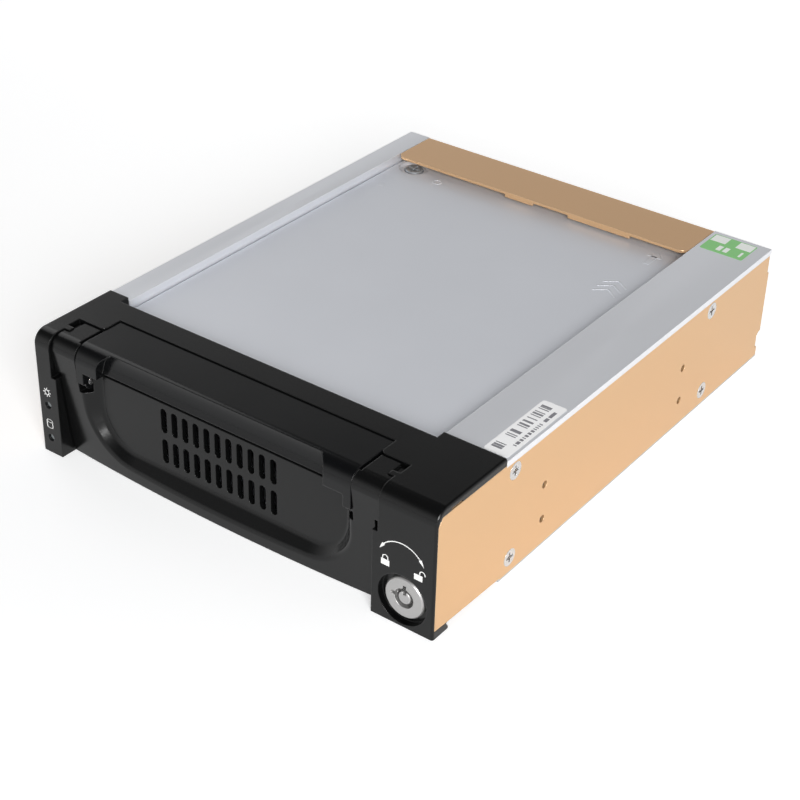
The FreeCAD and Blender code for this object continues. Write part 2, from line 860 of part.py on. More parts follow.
def power_port():
    """Four-pin drive power header: a shroud with two chamfered corners."""
    x, z, width, height = power_place()
    shell = box(x - width / 2, x + width / 2, backplane_rear, cage_depth, z - height / 2,
                z + height / 2)
    shell = shell.makeChamfer(power_port_chamfer, [
        e for e in shell.Edges if runs_along(e, "y") and e.CenterOfMass.z > z])
    half = width / 2 - power_port_wall
    tall = height / 2 - power_port_wall
    hollow = box(x - half, x + half, backplane_rear + port_floor, cage_depth + 1, z - tall,
                 z + tall)
    hollow = hollow.makeChamfer(power_hollow_chamfer, [
        e for e in hollow.Edges if runs_along(e, "y") and e.CenterOfMass.z > z])
    pins = [rod(power_pin_radius, power_pin_length,
                x + (n - (power_pins - 1) / 2) * power_pin_pitch,
                backplane_rear + port_floor - seam, z, (0, 1, 0)) for n in range(power_pins)]
    return shell.cut(hollow).fuse(pins)


def data_port():
    """Serial data header: a shroud round an L-shaped contact blade."""
    x, z, width, height = data_place()
    shell = box(x - width / 2, x + width / 2, backplane_rear, cage_depth, z - height / 2,
                z + height / 2)
    half = width / 2 - data_port_wall
    tall = height / 2 - data_port_wall
    hollow = box(x - half, x + half, backplane_rear + port_floor, cage_depth + 1, z - tall,
                 z + tall)
    foot = backplane_rear + port_floor / 2
    tip = cage_depth - sheet / 2
    thin = data_blade_thickness / 2
    blade = box(x - data_blade_half, x + data_blade_half, foot, tip, z - thin, z + thin)
    key = box(x + data_blade_half - data_blade_thickness, x + data_blade_half, foot, tip,
              z - data_key_drop, z + thin)
    return shell.cut(hollow).fuse([blade, key]).removeSplitter()


def fan_housing():
    half = fan_size / 2
    x, z = fan_centre_x, fan_centre_z
    frame = box(x - half, x + half, fan_front, fan_rear, z - half, z + half)
    frame = round_edges(frame, fan_corner_radius, lambda e, m: runs_along(e, "y"))
    cuts = [rod(fan_bore, fan_depth + 2, x, fan_front - 1, z, (0, 1, 0))]
    spacing = fan_hole_spacing / 2
    for dx in (-spacing, spacing):
        for dz in (-spacing, spacing):
            cuts.append(rod(fan_hole_radius, fan_depth + 2, x + dx, fan_front - 1, z + dz,
                            (0, 1, 0)))
    frame = frame.cut(cuts)
    motor_seat = rod(fan_hub_radius, fan_seat, x, fan_rear - fan_seat, z, (0, 1, 0))
    spokes = []
    for turn in fan_spoke_turns:
        spoke = box(fan_hub_radius - 1, fan_bore + 0.4, fan_rear - fan_seat, fan_rear,
                    -fan_spoke / 2, fan_spoke / 2)
        spoke.rotate(Vector(0, 0, 0), Vector(0, 1, 0), turn)
        spoke.translate(Vector(x, 0, z))
        spokes.append(spoke)
    shaft = rod(fan_shaft_radius, fan_shaft_length, x,
                fan_rear - fan_shaft_length - fan_shaft_root, z, (0, 1, 0))
    return frame.fuse([motor_seat, shaft] + spokes).removeSplitter()


def fan_rotor():
    """Hub cup with twisted blades, turning on the housing's shaft."""
    x, z = fan_centre_x, fan_centre_z
    front = fan_front + fan_gap
    rear = fan_rear - fan_seat - fan_gap
    hub = rod(fan_hub_radius, rear - front, x, front, z, (0, 1, 0))
    hub = round_edges(hub, fan_hub_edge, lambda e, m: near(m.y, front))
    bore = rod(fan_shaft_radius + pin_gap, fan_shaft_length, x,
               fan_rear - fan_shaft_length - fan_shaft_root - seat_gap, z, (0, 1, 0))
    blade_tip = fan_bore - fan_gap
    blades = []
    for n in range(fan_blades):
        sections = []
        for radius, lean in zip((fan_hub_radius - blade_root, blade_tip), blade_leans):
            rise = (rear - front - 1.0) / 2
            run = rise / math.tan(math.radians(lean))
            centre = (front + rear) / 2
            half = blade_thickness / 2
            sections.append(Part.makePolygon([
                Vector(radius, centre - rise, -run - half),
                Vector(radius, centre - rise, -run + half),
                Vector(radius, centre + rise, run + half),
                Vector(radius, centre + rise, run - half),
                Vector(radius, centre - rise, -run - half)]))
        blade = Part.makeLoft(sections, True, True)
        blade = blade.common(rod(blade_tip, fan_depth, 0, fan_front, 0, (0, 1, 0)))
        blade.rotate(Vector(0, 0, 0), Vector(0, 1, 0), 360.0 * n / fan_blades)
        blade.translate(Vector(x, 0, z))
        blades.append(blade)
    return hub.fuse(blades).cut(bore).removeSplitter()


def fan_screws():
    spacing = fan_hole_spacing / 2
    under = -fan_screw_head_height
    profile = [(0, 0), (fan_screw_head, 0), (fan_screw_head, under),
               (fan_screw_radius, under), (fan_screw_radius, -fan_depth), (0, -fan_depth)]
    screws = []
    for dx in (-spacing, spacing):
        for dz in (-spacing, spacing):
            screws.append(ring(profile, (fan_centre_x + dx, fan_front + under,
                                         fan_centre_z + dz), (0, -1, 0)))
    return Part.makeCompound(screws)


# ---- indicators and key lock ---------------------------------------------

def led_board():
    front = lamp_front + lamp_length
    return box(light_pipe_x - lamp_board / 2, light_pipe_x + lamp_board / 2, front,
               front + lamp_board_depth, light_heights[0] - lamp_board_foot,
               light_heights[-1] + lamp_board_top)


def indicator_leds():
    lamps = []
    for height in light_heights:
        dome = rod(lamp_radius, lamp_length, light_pipe_x, lamp_front, height, (0, 1, 0))
        dome = round_edges(dome, lamp_radius - seam, lambda e, m: near(m.y, lamp_front))
        lamps.append(dome)
    return Part.makeCompound(lamps)


def light_pipes():
    pipes = []
    for height in light_heights:
        core = rod(light_pipe_radius, light_pipe_length, light_pipe_x, light_pipe_front,
                   height, (0, 1, 0))
        collar = rod(light_pipe_radius + 0.3, light_pipe_collar, light_pipe_x,
                     bezel_front_wall + seat_gap, height, (0, 1, 0))
        pipes.append(core.fuse(collar).removeSplitter())
    return Part.makeCompound(pipes)


def key_notches(reach):
    """Slots from the ring-shaped keyway outwards, one per key position."""
    notches = []
    for angle in key_notch_angles:
        slot = box(key_slot_outer - slide_gap, reach, lock_face_y - 1,
                   lock_face_y + key_notch_depth, -key_notch_width / 2, key_notch_width / 2)
        slot.rotate(Vector(0, 0, 0), Vector(0, 1, 0), -angle)
        slot.translate(Vector(lock_x, 0, lock_z))
        notches.append(slot)
    return notches


def lock_housing():
    flange = lock_recess_depth - lock_face_y
    bore = key_slot_outer
    profile = [(bore, 0), (lock_face_radius - 0.4, 0), (lock_face_radius, 0.4),
               (lock_face_radius, flange), (lock_body_radius, flange),
               (lock_body_radius, lock_body_length), (bore, lock_body_length)]
    shell = ring(profile, (lock_x, lock_face_y, lock_z), (0, 1, 0))
    return shell.cut(key_notches(key_slot_outer + key_notch))


def lock_nut():
    radius = lock_nut_width / 2 / math.cos(math.radians(30))
    y = lock_seat_y
    corners = [(lock_x + radius * math.cos(math.radians(60 * n)),
                lock_z + radius * math.sin(math.radians(60 * n))) for n in range(6)]
    nut = front_profile(corners, y, y + lock_nut_thickness)
    return nut.cut(rod(lock_body_radius, 9.0, lock_x, y - 1, lock_z, (0, 1, 0)))


def lock_barrel():
    """Turning core: centre post in the keyway, cylinder behind, squared tail."""
    outer = key_slot_outer - pin_gap
    end = lock_body_length + barrel_overrun
    tail = end + tail_reach + tongue_plate + barrel_tail
    profile = [(0, 0.2), (key_slot_inner - 0.2, 0.2), (key_slot_inner, 0.4),
               (key_slot_inner, key_slot_depth), (outer, key_slot_depth), (outer, end),
               (barrel_tail_radius, end), (barrel_tail_radius, tail), (0, tail)]
    core = ring(profile, (lock_x, lock_face_y, lock_z), (0, 1, 0))
    groove = box(-key_post_groove / 2, key_post_groove / 2, lock_face_y - 1,
                 lock_face_y + key_groove_depth, key_groove_inner, key_slot_inner + 1)
    groove.translate(Vector(lock_x, 0, lock_z))
    groove.rotate(Vector(lock_x, 0, lock_z), Vector(0, 1, 0), 90 - key_notch_angles[0])
    return core.cut(groove)


def lock_tongue():
    """Locking cam on the barrel's tail; it points up while the lock is open."""
    half = tongue_width / 2
    y = lock_tongue_y
    blade = box(lock_x - half, lock_x + half, y, y + tongue_plate, lock_z,
                lock_z + tongue_length - half)
    root = rod(half + tongue_root, tongue_plate, lock_x, y, lock_z, (0, 1, 0))
    tip = rod(half, tongue_plate, lock_x, y, lock_z + tongue_length - half, (0, 1, 0))
    hole = rod(barrel_tail_radius, 3 * tongue_plate, lock_x, y - 1, lock_z, (0, 1, 0))
    return blade.fuse([root, tip]).cut(hole).removeSplitter()


def key_switch():
    """Rotary power switch behind the lock, with two solder tags."""
    front = lock_tongue_y + tongue_plate + switch_gap
    body = rod(switch_radius, switch_depth, lock_x, front, lock_z, (0, 1, 0))
    bore = rod(barrel_tail_radius + pin_gap, 3 * switch_depth, lock_x, front - 1, lock_z,
               (0, 1, 0))
    half = switch_radius + switch_bracket_side
    plate = (switch_depth - switch_bracket_thickness) / 2
    bracket = box(lock_x - half, lock_x + half, front + plate,
                  front + plate + switch_bracket_thickness, lock_z - switch_bracket_reach,
                  lock_z - switch_bracket_top)
    wide, thick = switch_tag
    tag_front = front + switch_depth - slide_gap
    tags = [box(lock_x + dx - wide / 2, lock_x + dx + wide / 2, tag_front,
                tag_front + switch_tag_length, lock_z + switch_tag_height,
                lock_z + switch_tag_height + thick) for dx in (-switch_tag_aside, switch_tag_aside)]
    return body.fuse([bracket] + tags).cut(bore).removeSplitter()


# ---- tray ------------------------------------------------------------------

def rake_at(z):
    """Y of the tray's sloped front face at a height."""
    share = (rake_top_z - z) / (rake_top_z - rake_bottom_z)
    return rake_top + share * (rake_bottom - rake_top)


def tray_face_profile(bottom):
    """Side view of an ear: raked front, large round upper front edge."""
    edge = bezel_edge_radius
    z = ear_top - edge
    y = rake_at(z)
    bend = edge * (1 - math.sqrt(0.5))
    outline = [
        Part.makeLine(Vector(0, tray_front_rear, bottom), Vector(0, rake_at(bottom), bottom)),
        Part.makeLine(Vector(0, rake_at(bottom), bottom), Vector(0, y, z)),
        Part.Arc(Vector(0, y, z), Vector(0, y + bend, ear_top - bend),
                 Vector(0, y + edge, ear_top)).toShape(),
        Part.makeLine(Vector(0, y + edge, ear_top), Vector(0, tray_front_rear, ear_top)),
        Part.makeLine(Vector(0, tray_front_rear, ear_top), Vector(0, tray_front_rear, bottom)),
    ]
    return Part.Face(Part.Wire(outline))


def bowed_section(half, z, bow):
    """Plan of the tray's front at a height: straight sides, face bowed forward."""
    y = rake_at(z)
    left = Vector(bay_x - half, y, z)
    right = Vector(bay_x + half, y, z)
    rear_left = Vector(bay_x - half, tray_front_rear, z)
    rear_right = Vector(bay_x + half, tray_front_rear, z)
    return Part.Wire([
        Part.Arc(left, Vector(bay_x, y - bow, z), right).toShape(),
        Part.makeLine(right, rear_right),
        Part.makeLine(rear_right, rear_left),
        Part.makeLine(rear_left, left),
    ])


def bowed_block():
    """Lower part of the tray's front with the finger recess, its lip and floor rounded."""
    half = bay_half - seam
    block = Part.makeLoft([bowed_section(half, rake_bottom_z, front_bow),
                           bowed_section(half, front_split_z, straight_bow)], True, True)
    mouth = recess_outline(recess_flare, lambda z: rake_at(z) - 4.0)
    floor = recess_outline(-recess_draft, lambda z: recess_floor_y)
    block = block.cut(Part.makeLoft([mouth, floor], True, True))

    def on_rim(edge, middle):
        return (edge.Length > recess_lip_radius and near_face(middle)
                and recess_bottom - 1.5 < middle.z < front_split_z - 1.0
                and abs(middle.x - bay_x) < recess_half_width + 1.0)

    def on_floor(edge, middle):
        return near(middle.y, recess_floor_y) and middle.z < front_split_z - 1.0

    block = round_edges(block, recess_lip_radius, on_rim)
    return round_edges(block, recess_floor_radius, on_floor)


def near_face(point):
    return point.y < rake_at(point.z) + 0.01


def tray_front():
    """Moulded front of the tray: ears, bowed face, finger recess and grille."""
    body_half = bay_half - seam
    ear_inner = handle_half_width + seam
    wide_half = bay_half + ear_rebate - 0.1
    ear = tray_face_profile(front_split_z).extrude(Vector(body_half - ear_inner, 0, 0))
    ear.translate(Vector(bay_x + ear_inner, 0, 0))
    wing = tray_face_profile(ear_bottom).extrude(Vector(wide_half - body_half, 0, 0))
    wing.translate(Vector(bay_x + body_half, 0, 0))
    wing = wing.cut(box(bay_x, bay_x + wide_half + 1, ear_rebate_depth - 0.4,
                        tray_front_rear + 1, 0, ear_top + 1))
    lobe = box(bay_x + body_half, bay_x + wide_half, finger_end + seam,
               tray_front_rear, bezel_under, lobe_top)
    lobe = round_edges(lobe, lobe_radius, lambda e, m: (
        runs_along(e, "z") and near(m.x, bay_x + wide_half)))
    back = box(bay_x - ear_inner, bay_x + ear_inner, finger_hollow_rear, tray_front_rear,
               front_split_z, tray_front_top)
    pieces = [back]
    for piece in (ear, wing, lobe):
        pieces.extend(both_bay_sides(piece))
    body = bowed_block().fuse(pieces).removeSplitter()
    # The skirt at the front edge ends before the frame's floor.
    cuts = [box(bay_x - bay_half, bay_x + bay_half, skirt_rear, tray_front_rear + 1, -1,
                tray_front_bottom)]
    # A wider slot beside the handle's ends.
    slot = box(bay_x + ear_inner - 0.1, bay_x + ear_inner + handle_slot_width,
               handle_slot_front, notch_rear + 1, ear_top - handle_slot_height, ear_top + 1)
    cuts.extend(both_bay_sides(slot))
    # Finger hollow behind the handle's bar.
    hollow = [(recess_floor_y - 0.1, front_split_z + 1), (recess_floor_y - 0.1, leg_bottom - 2.4),
              (finger_hollow_rear, leg_bottom + 0.6), (finger_hollow_rear, front_split_z + 1)]
    cuts.append(side_profile(hollow, bay_x - ear_inner, bay_x + ear_inner))
    # Pivot pockets at the lower ends of the handle's legs.
    pocket = box(bay_x + lug_inner - slide_gap, bay_x + ear_inner, -4,
                 pivot_y + lug_radius + 2 * seam, pivot_z - (pivot_y - handle_front) - slide_gap,
                 tray_front_top + 1)
    cuts.extend(both_bay_sides(pocket))
    # Grille through the recess floor, hollow behind it.
    for row in range(grille_rows):
        for column in range(grille_columns):
            x = bay_x + grille_shift + (column - (grille_columns - 1) / 2) * grille_pitch
            z = grille_centre_z + (row - (grille_rows - 1) / 2) * grille_row_pitch
            cuts.append(rounded_slot(x, recess_floor_y - 3, tray_front_rear + 1, z,
                                     slot_width, slot_height))
    hollow_half = bay_half - grille_hollow_side
    cuts.append(box(bay_x - hollow_half, bay_x + hollow_half, recess_floor_y + grille_wall,
                    tray_front_rear + 1, grille_hollow_bottom, leg_bottom - grille_hollow_drop))
    # Bores for the hinge pins, from the pockets into the ears.
    bore = rod(pin_radius, pin_grip + 0.2, bay_x + ear_inner - 0.1, pivot_y, pivot_z, (1, 0, 0))
    cuts.extend(both_bay_sides(bore))
    # The pan's lugs are screwed on from behind.
    for z in front_screw_heights:
        for side in (-1, 1):
            cuts.append(rod(front_screw_radius, front_screw_length + 1,
                            bay_x + side * front_screw_x,
                            tray_front_rear - front_screw_length, z, (0, 1, 0)))
    return body.cut(cuts)


def handle_pins():
    length = pin_grip + lug_width + seam
    pin = rod(pin_radius, length, bay_x + lug_inner, pivot_y, pivot_z, (1, 0, 0))
    return Part.makeCompound(both_bay_sides(pin))


def handle():
    """Pull handle: top plate, front bar with a finger scoop, and two hinge lugs."""
    r = handle_edge_radius
    top = handle_top
    back = handle_front + leg_thickness
    plate_under = top - handle_plate
    bend = r * math.sqrt(0.5)
    outline = [
        Part.makeLine(Vector(0, handle_front, leg_bottom), Vector(0, handle_front, top - r)),
        Part.Arc(Vector(0, handle_front, top - r),
                 Vector(0, handle_front + r - bend, top - r + bend),
                 Vector(0, handle_front + r, top)).toShape(),
        Part.makeLine(Vector(0, handle_front + r, top), Vector(0, handle_rear, top)),
        Part.makeLine(Vector(0, handle_rear, top), Vector(0, handle_rear, plate_under)),
        Part.makeLine(Vector(0, handle_rear, plate_under),
                      Vector(0, back + leg_chamfer, plate_under)),
        Part.makeLine(Vector(0, back + leg_chamfer, plate_under),
                      Vector(0, back, plate_under - leg_chamfer)),
        Part.makeLine(Vector(0, back, plate_under - leg_chamfer), Vector(0, back, leg_bottom)),
        Part.makeLine(Vector(0, back, leg_bottom), Vector(0, handle_front, leg_bottom)),
    ]
    body = Part.Face(Part.Wire(outline)).extrude(Vector(2 * handle_half_width, 0, 0))
    body.translate(Vector(bay_x - handle_half_width, 0, 0))
    # Finger scoop: a hollow front between the two end legs.
    middle_y = (scoop_top_y + scoop_bottom_y) / 2 + scoop_sag
    middle_z = (top + bar_bottom) / 2
    scoop_edges = [
        Part.Arc(Vector(0, scoop_bottom_y, bar_bottom - 0.01), Vector(0, middle_y, middle_z),
                 Vector(0, scoop_top_y, top + 0.01)).toShape(),
        Part.makeLine(Vector(0, scoop_top_y, top + 0.01), Vector(0, -3, top + 0.01)),
        Part.makeLine(Vector(0, -3, top + 0.01), Vector(0, -3, leg_bottom - 2)),
        Part.makeLine(Vector(0, -3, leg_bottom - 2), Vector(0, 12, leg_bottom - 2)),
        Part.makeLine(Vector(0, 12, leg_bottom - 2), Vector(0, 12, bar_bottom - 0.01)),
        Part.makeLine(Vector(0, 12, bar_bottom - 0.01),
                      Vector(0, scoop_bottom_y, bar_bottom - 0.01)),
    ]
    scoop = Part.Face(Part.Wire(scoop_edges)).extrude(Vector(2 * scoop_half_width, 0, 0))
    scoop.translate(Vector(bay_x - scoop_half_width, 0, 0))
    window = box(bay_x - scoop_half_width, bay_x + scoop_half_width - scoop_short, -4, 13,
                 leg_bottom - 4, top - seat_gap)
    window = round_edges(window, scoop_radius, lambda e, m: (
        runs_along(e, "y") and m.z > bar_bottom))
    body = body.cut(scoop.common(window))
    # Hinge lugs reach down to the pivot at both ends, flush with the legs.
    lug = rod(lug_radius, lug_width, bay_x + lug_inner, pivot_y, pivot_z, (1, 0, 0))
    arm = box(bay_x + lug_inner, bay_x + lug_outer, handle_front, pivot_y + lug_radius,
              pivot_z, leg_bottom + 0.5)
    lugs = both_bay_sides(lug) + both_bay_sides(arm)
    body = body.fuse(lugs).removeSplitter()
    # Ribs under the plate keep it stiff.
    ribs = [box(bay_x + x - rib_width / 2, bay_x + x + rib_width / 2, back - 0.4,
                handle_rear - rib_from_rear, plate_under - rib_drop, plate_under + 0.2)
            for x in rib_places]
    body = body.fuse(ribs)
    bore = rod(pin_radius + pin_gap, lug_width + 2, bay_x + lug_inner - 1, pivot_y, pivot_z,
               (1, 0, 0))
    return body.cut(both_bay_sides(bore)).removeSplitter()


def hook_rows():
    """Y of each cover hook's front edge."""
    first = cover_front + hook_from_front
    last = cover_rear - hook_from_rear
    step = (last - first) / (hook_count - 1)
    return [first + n * step for n in range(hook_count)]


def tray_pan():
    """Folded tray: floor, side walls with inward flanges, and a rear wall."""
    front = tray_front_rear
    x0 = bay_x - pan_half
    x1 = bay_x + pan_half
    outer = box(x0, x1, front, pan_rear, tray_bottom, pan_height)
    hollow = box(x0 + sheet, x1 - sheet, front - 1, pan_rear - sheet, pan_floor_top,
                 pan_height - sheet)
    mouth = box(x0 + pan_flange, x1 - pan_flange, front - 1, pan_rear + 1, pan_floor_top,
                pan_height + 1)
    rear = box(x0 + sheet, x1 - sheet, pan_rear - sheet, pan_rear, tray_bottom + 0.5,
               pan_height - pan_rear_drop)
    shell = outer.cut([hollow, mouth]).fuse(rear).removeSplitter()
    # Lugs at the front are screwed to the back of the moulded front.
    lugs = []
    for side in (-1, 1):
        x_edge = bay_x + side * pan_half
        x_in = x_edge - side * pan_lug_width
        lugs.append(box(min(x_edge, x_in), max(x_edge, x_in), front, front + sheet,
                        tray_bottom + 0.5, pan_height - 0.5))
    shell = shell.fuse(lugs).removeSplitter()
    cuts = []
    for side in (-1, 1):
        for z in front_screw_heights:
            cuts.append(rod(front_screw_radius + 0.5, 4.0, bay_x + side * front_screw_x,
                            front - 1, z, (0, 1, 0)))
        for y in hook_rows():
            x_mid = bay_x + side * (pan_half - pan_flange / 2)
            half = hook_width / 2 + 0.5
            cuts.append(box(x_mid - half, x_mid + half, y - hook_foot - 0.6,
                            y + hook_length + cover_travel + 0.6, pan_height - 2, pan_height + 1))
    # Space for the cover's catch over its whole travel.
    cuts.append(box(x0 + sheet + bay_clear, catch_x + catch_well_side,
                    catch_y - dimple_radius - catch_well_front, pan_rear + 1,
                    pan_height - catch_well_depth, pan_height + 1))
    # The right wall starts behind the lock's tongue, which holds it there.
    cuts.append(box(x1 - sheet - 1, x1 + 1, front + sheet,
                    lock_tongue_y + tongue_plate + tongue_slack,
                    pan_floor_top, pan_height - sheet))
    # Bottom screws of the drive.
    for side in (-1, 1):
        for y in drive_hole_rows():
            cuts.append(rod(drive_hole_radius, 4.0, bay_x + side * drive_hole_spacing_x / 2, y,
                            tray_bottom - 1, (0, 0, 1)))
    # Vents in the floor and beside the docking plug.
    middle = pan_vent_front + (pan_vent_rows - 1) * pan_vent_pitch[1] / 2
    cuts.extend(slot_field(middle, pan_vent, pan_vent_pitch, pan_vent_columns, pan_vent_rows,
                           tray_bottom))
    half = dock_width / 2 + dock_shell + 0.5
    cuts.append(box(backplane_x - half, backplane_x + half, pan_rear - 2, pan_rear + 1,
                    dock_centre_z - dock_height / 2 - 0.5, dock_centre_z + dock_height / 2 + 0.5))
    for column in range(pan_slots):
        x = (fan_centre_x + pan_slots_shift
             + (column - (pan_slots - 1) / 2) * pan_slot_pitch)
        cuts.append(rounded_slot(x, pan_rear - 2, pan_rear + 1, pan_slot_height, *pan_slot))
    return shell.cut(cuts)


def drive_hole_rows():
    near_rear = drive_rear - drive_hole_from_rear
    return (near_rear - drive_hole_spacing_y, near_rear)


def tray_front_screws():
    screws = []
    for side in (-1, 1):
        for z in front_screw_heights:
            r = front_screw_radius
            profile = [(0, -front_screw_head_height),
                       (front_screw_crown, -front_screw_head_height), (front_screw_head, 0),
                       (r, 0), (r, front_screw_length), (0, front_screw_length)]
            screws.append(ring(profile, (bay_x + side * front_screw_x,
                                         tray_front_rear + sheet, z), (0, -1, 0)))
    return Part.makeCompound(screws)


def tray_board():
    half = tray_board_half_width
    card = box(bay_x - half, bay_x + half, tray_board_front, tray_board_front + board,
               pan_floor_top + 0.2, board_top)
    side = tray_board_window_side
    window = box(backplane_x + dock_width / 2 + side, bay_x + half - side,
                 tray_board_front - 1, tray_board_front + board + 1, tray_board_window_bottom,
                 board_top - tray_board_window_drop)
    return card.cut(window)


def drive_socket():
    """Socket on the tray board that the drive plugs into."""
    z = pan_floor_top + drive_pad + drive_port_height
    x = bay_x + drive_width / 2 - drive_port_from_side
    half = drive_socket_width / 2
    tall = drive_socket_height / 2
    face = drive_rear + drive_socket_gap
    body = box(x - half, x + half, face, tray_board_front, z - tall, z + tall)
    lips = box(x - half + drive_lip[0], x + half - drive_lip[0], drive_rear + bay_clear,
               face + bay_clear, z - tall + drive_lip[1], z + tall - drive_lip[1])
    slots = [box(x - half + a, x - half + b, drive_rear - 1, drive_rear + drive_socket_reach,
                 z - drive_slot_height / 2, z + drive_slot_height / 2)
             for a, b in drive_slots]
    return body.fuse(lips).cut(slots).removeSplitter()


def cover_parts():
    """Plate with the catch dimple, turned-down front edge and hooks."""
    half = pan_half - 0.1
    plate = box(bay_x - half, bay_x + half, cover_front, cover_rear, cover_bottom, cover_top)
    plate = round_edges(plate, cover_corner_radius, lambda e, m: runs_along(e, "z"))
    plate = plate.cut(rod(dimple_radius, 4.0, catch_x, catch_y, cover_bottom - 1, (0, 0, 1)))
    t = sheet
    hole = button_radius + 0.35
    dish = ring([(hole, -dimple_depth), (hole, t - dimple_depth),
                 (dimple_radius - 0.9, t - dimple_depth), (dimple_radius, t),
                 (dimple_radius + 0.05, t), (dimple_radius + 0.05, 0),
                 (dimple_radius - 0.5, 0), (dimple_radius - 1.2, -dimple_depth)],
                (catch_x, catch_y, cover_bottom), (0, 0, 1))
    return plate.fuse(dish)


def tray_cover():
    cover = cover_parts()
    hooks = []
    flange_under = pan_height - sheet
    for side in (-1, 1):
        x_mid = bay_x + side * (pan_half - pan_flange / 2)
        x0 = x_mid - hook_width / 2
        x1 = x_mid + hook_width / 2
        for y in hook_rows():
            foot_top = flange_under - 0.5
            hooks.append(side_profile([
                (y, cover_bottom + 0.3), (y + hook_length, cover_bottom + 0.3),
                (y + hook_length, foot_top - 1.0), (y - hook_foot, foot_top - 1.0),
                (y - hook_foot, foot_top), (y, foot_top)], x0, x1))
    return cover.fuse(hooks).removeSplitter()


def catch_levels():
    """Heights of the catch's stack: button rim, spring seat."""
    dish_under = cover_bottom - dimple_depth
    rim_top = dish_under - seam
    rim_under = rim_top - button_rim_height
    seat = rim_under - spring_height
    return dish_under, rim_top, rim_under, seat


def catch_bracket():
    """Strap under the cover that carries the catch spring."""
    dish_under, rim_top, rim_under, seat = catch_levels()
    half = button_radius + strap_side
    width = strap_width / 2
    strap = box(catch_x - width, catch_x + width, catch_y - half, catch_y + half, seat - sheet,
                seat)
    legs = [box(catch_x - width, catch_x + width, catch_y + s * half - strap_leg / 2,
                catch_y + s * half + strap_leg / 2, seat - sheet, cover_bottom)
            for s in (-1, 1)]
    return strap.fuse(legs).removeSplitter()


def catch_button():
    dish_under, rim_top, rim_under, seat = catch_levels()
    top = cover_bottom + sheet - dimple_depth + button_proud
    profile = [(0, top - 0.25), (button_radius * 0.6, top), (button_radius - 0.3, top),
               (button_radius, top - 0.3), (button_radius, rim_top),
               (button_radius + button_rim, rim_top), (button_radius + button_rim, rim_under),
               (0, rim_under)]
    cap = ring(profile, (catch_x, catch_y, 0), (0, 0, 1))
    reach, wide = (size / 2 for size in button_cross)
    cross = [box(catch_x - a, catch_x + a, catch_y - b, catch_y + b, top - 0.6, top + 1)
             for a, b in ((reach, wide), (wide, reach))]
    return cap.cut(cross)


def catch_spring():
    dish_under, rim_top, rim_under, seat = catch_levels()
    radius = spring_radius
    low = seat + spring_wire
    pitch = (spring_height - 2 * spring_wire) / spring_turns
    path = Part.makeHelix(pitch, spring_height - 2 * spring_wire, radius)
    section = Part.Wire([Part.makeCircle(spring_wire, Vector(radius, 0, 0), Vector(0, 1, 0))])
    coil = Part.Wire(path.Edges).makePipeShell([section], True, True)
    coil.translate(Vector(catch_x, catch_y, low))
    return coil


# ---- write the pieces --------------------------------------------------------

pieces = {
    "front_bezel": front_bezel,
    "left_side_plate": lambda: side_plate(-1),
    "right_side_plate": lambda: side_plate(1),
    "left_rail": lambda: rail(-1),
    "right_rail": lambda: rail(1),
    "bottom_plate": bottom_plate,
    "rear_panel": rear_panel,
    "side_screws": side_screws,
    "backplane_board": backplane_board,
    "backplane_spacers": backplane_spacers,
    "dock_socket": dock_socket,
    "power_port": power_port,
    "data_port": data_port,
    "fan_housing": fan_housing,
    "fan_rotor": fan_rotor,
    "fan_screws": fan_screws,
    "led_board": led_board,
    "indicator_leds": indicator_leds,
    "light_pipes": light_pipes,
    "lock_housing": lock_housing,
    "lock_nut": lock_nut,
    "lock_barrel": lock_barrel,
    "lock_tongue": lock_tongue,
    "key_switch": key_switch,
    "tray_front": tray_front,
    "tray_front_screws": tray_front_screws,
    "tray_pan": tray_pan,
    "tray_board": tray_board,
    "dock_plug": dock_plug,
    "drive_socket": drive_socket,
    "handle_pins": handle_pins,
    "handle": handle,
    "tray_cover": tray_cover,
    "catch_bracket": catch_bracket,
    "catch_button": catch_button,
    "catch_spring": catch_spring,
}

os.makedirs("parts", exist_ok=True)
for name, make in pieces.items():
    shape = make()
    shape.translate(Vector(0, -cage_depth / 2, 0))
    shape.exportStep("parts/" + name + ".step")
    print(name, "solids", len(shape.Solids), "valid", shape.isValid(),
          "volume", round(shape.Volume, 1))
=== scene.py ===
import bmesh
import bpy
import math

from mathutils import Matrix, Vector


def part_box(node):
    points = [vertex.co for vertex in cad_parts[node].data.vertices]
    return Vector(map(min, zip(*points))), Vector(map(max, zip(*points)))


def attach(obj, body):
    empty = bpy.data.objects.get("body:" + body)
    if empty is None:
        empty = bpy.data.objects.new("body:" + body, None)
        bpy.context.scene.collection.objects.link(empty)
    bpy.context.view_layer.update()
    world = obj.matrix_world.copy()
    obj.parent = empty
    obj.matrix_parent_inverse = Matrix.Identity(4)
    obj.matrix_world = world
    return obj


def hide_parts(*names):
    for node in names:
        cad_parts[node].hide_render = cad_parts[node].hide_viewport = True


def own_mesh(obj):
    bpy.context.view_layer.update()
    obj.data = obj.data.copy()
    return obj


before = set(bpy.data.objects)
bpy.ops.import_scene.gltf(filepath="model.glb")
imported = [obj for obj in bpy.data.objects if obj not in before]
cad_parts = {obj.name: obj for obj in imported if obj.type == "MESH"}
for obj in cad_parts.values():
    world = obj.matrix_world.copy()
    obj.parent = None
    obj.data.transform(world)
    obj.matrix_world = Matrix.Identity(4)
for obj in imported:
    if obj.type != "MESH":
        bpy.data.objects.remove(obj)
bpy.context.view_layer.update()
scene = bpy.context.scene
mm = 0.001
print("frame loaded with", len(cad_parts), "nodes")

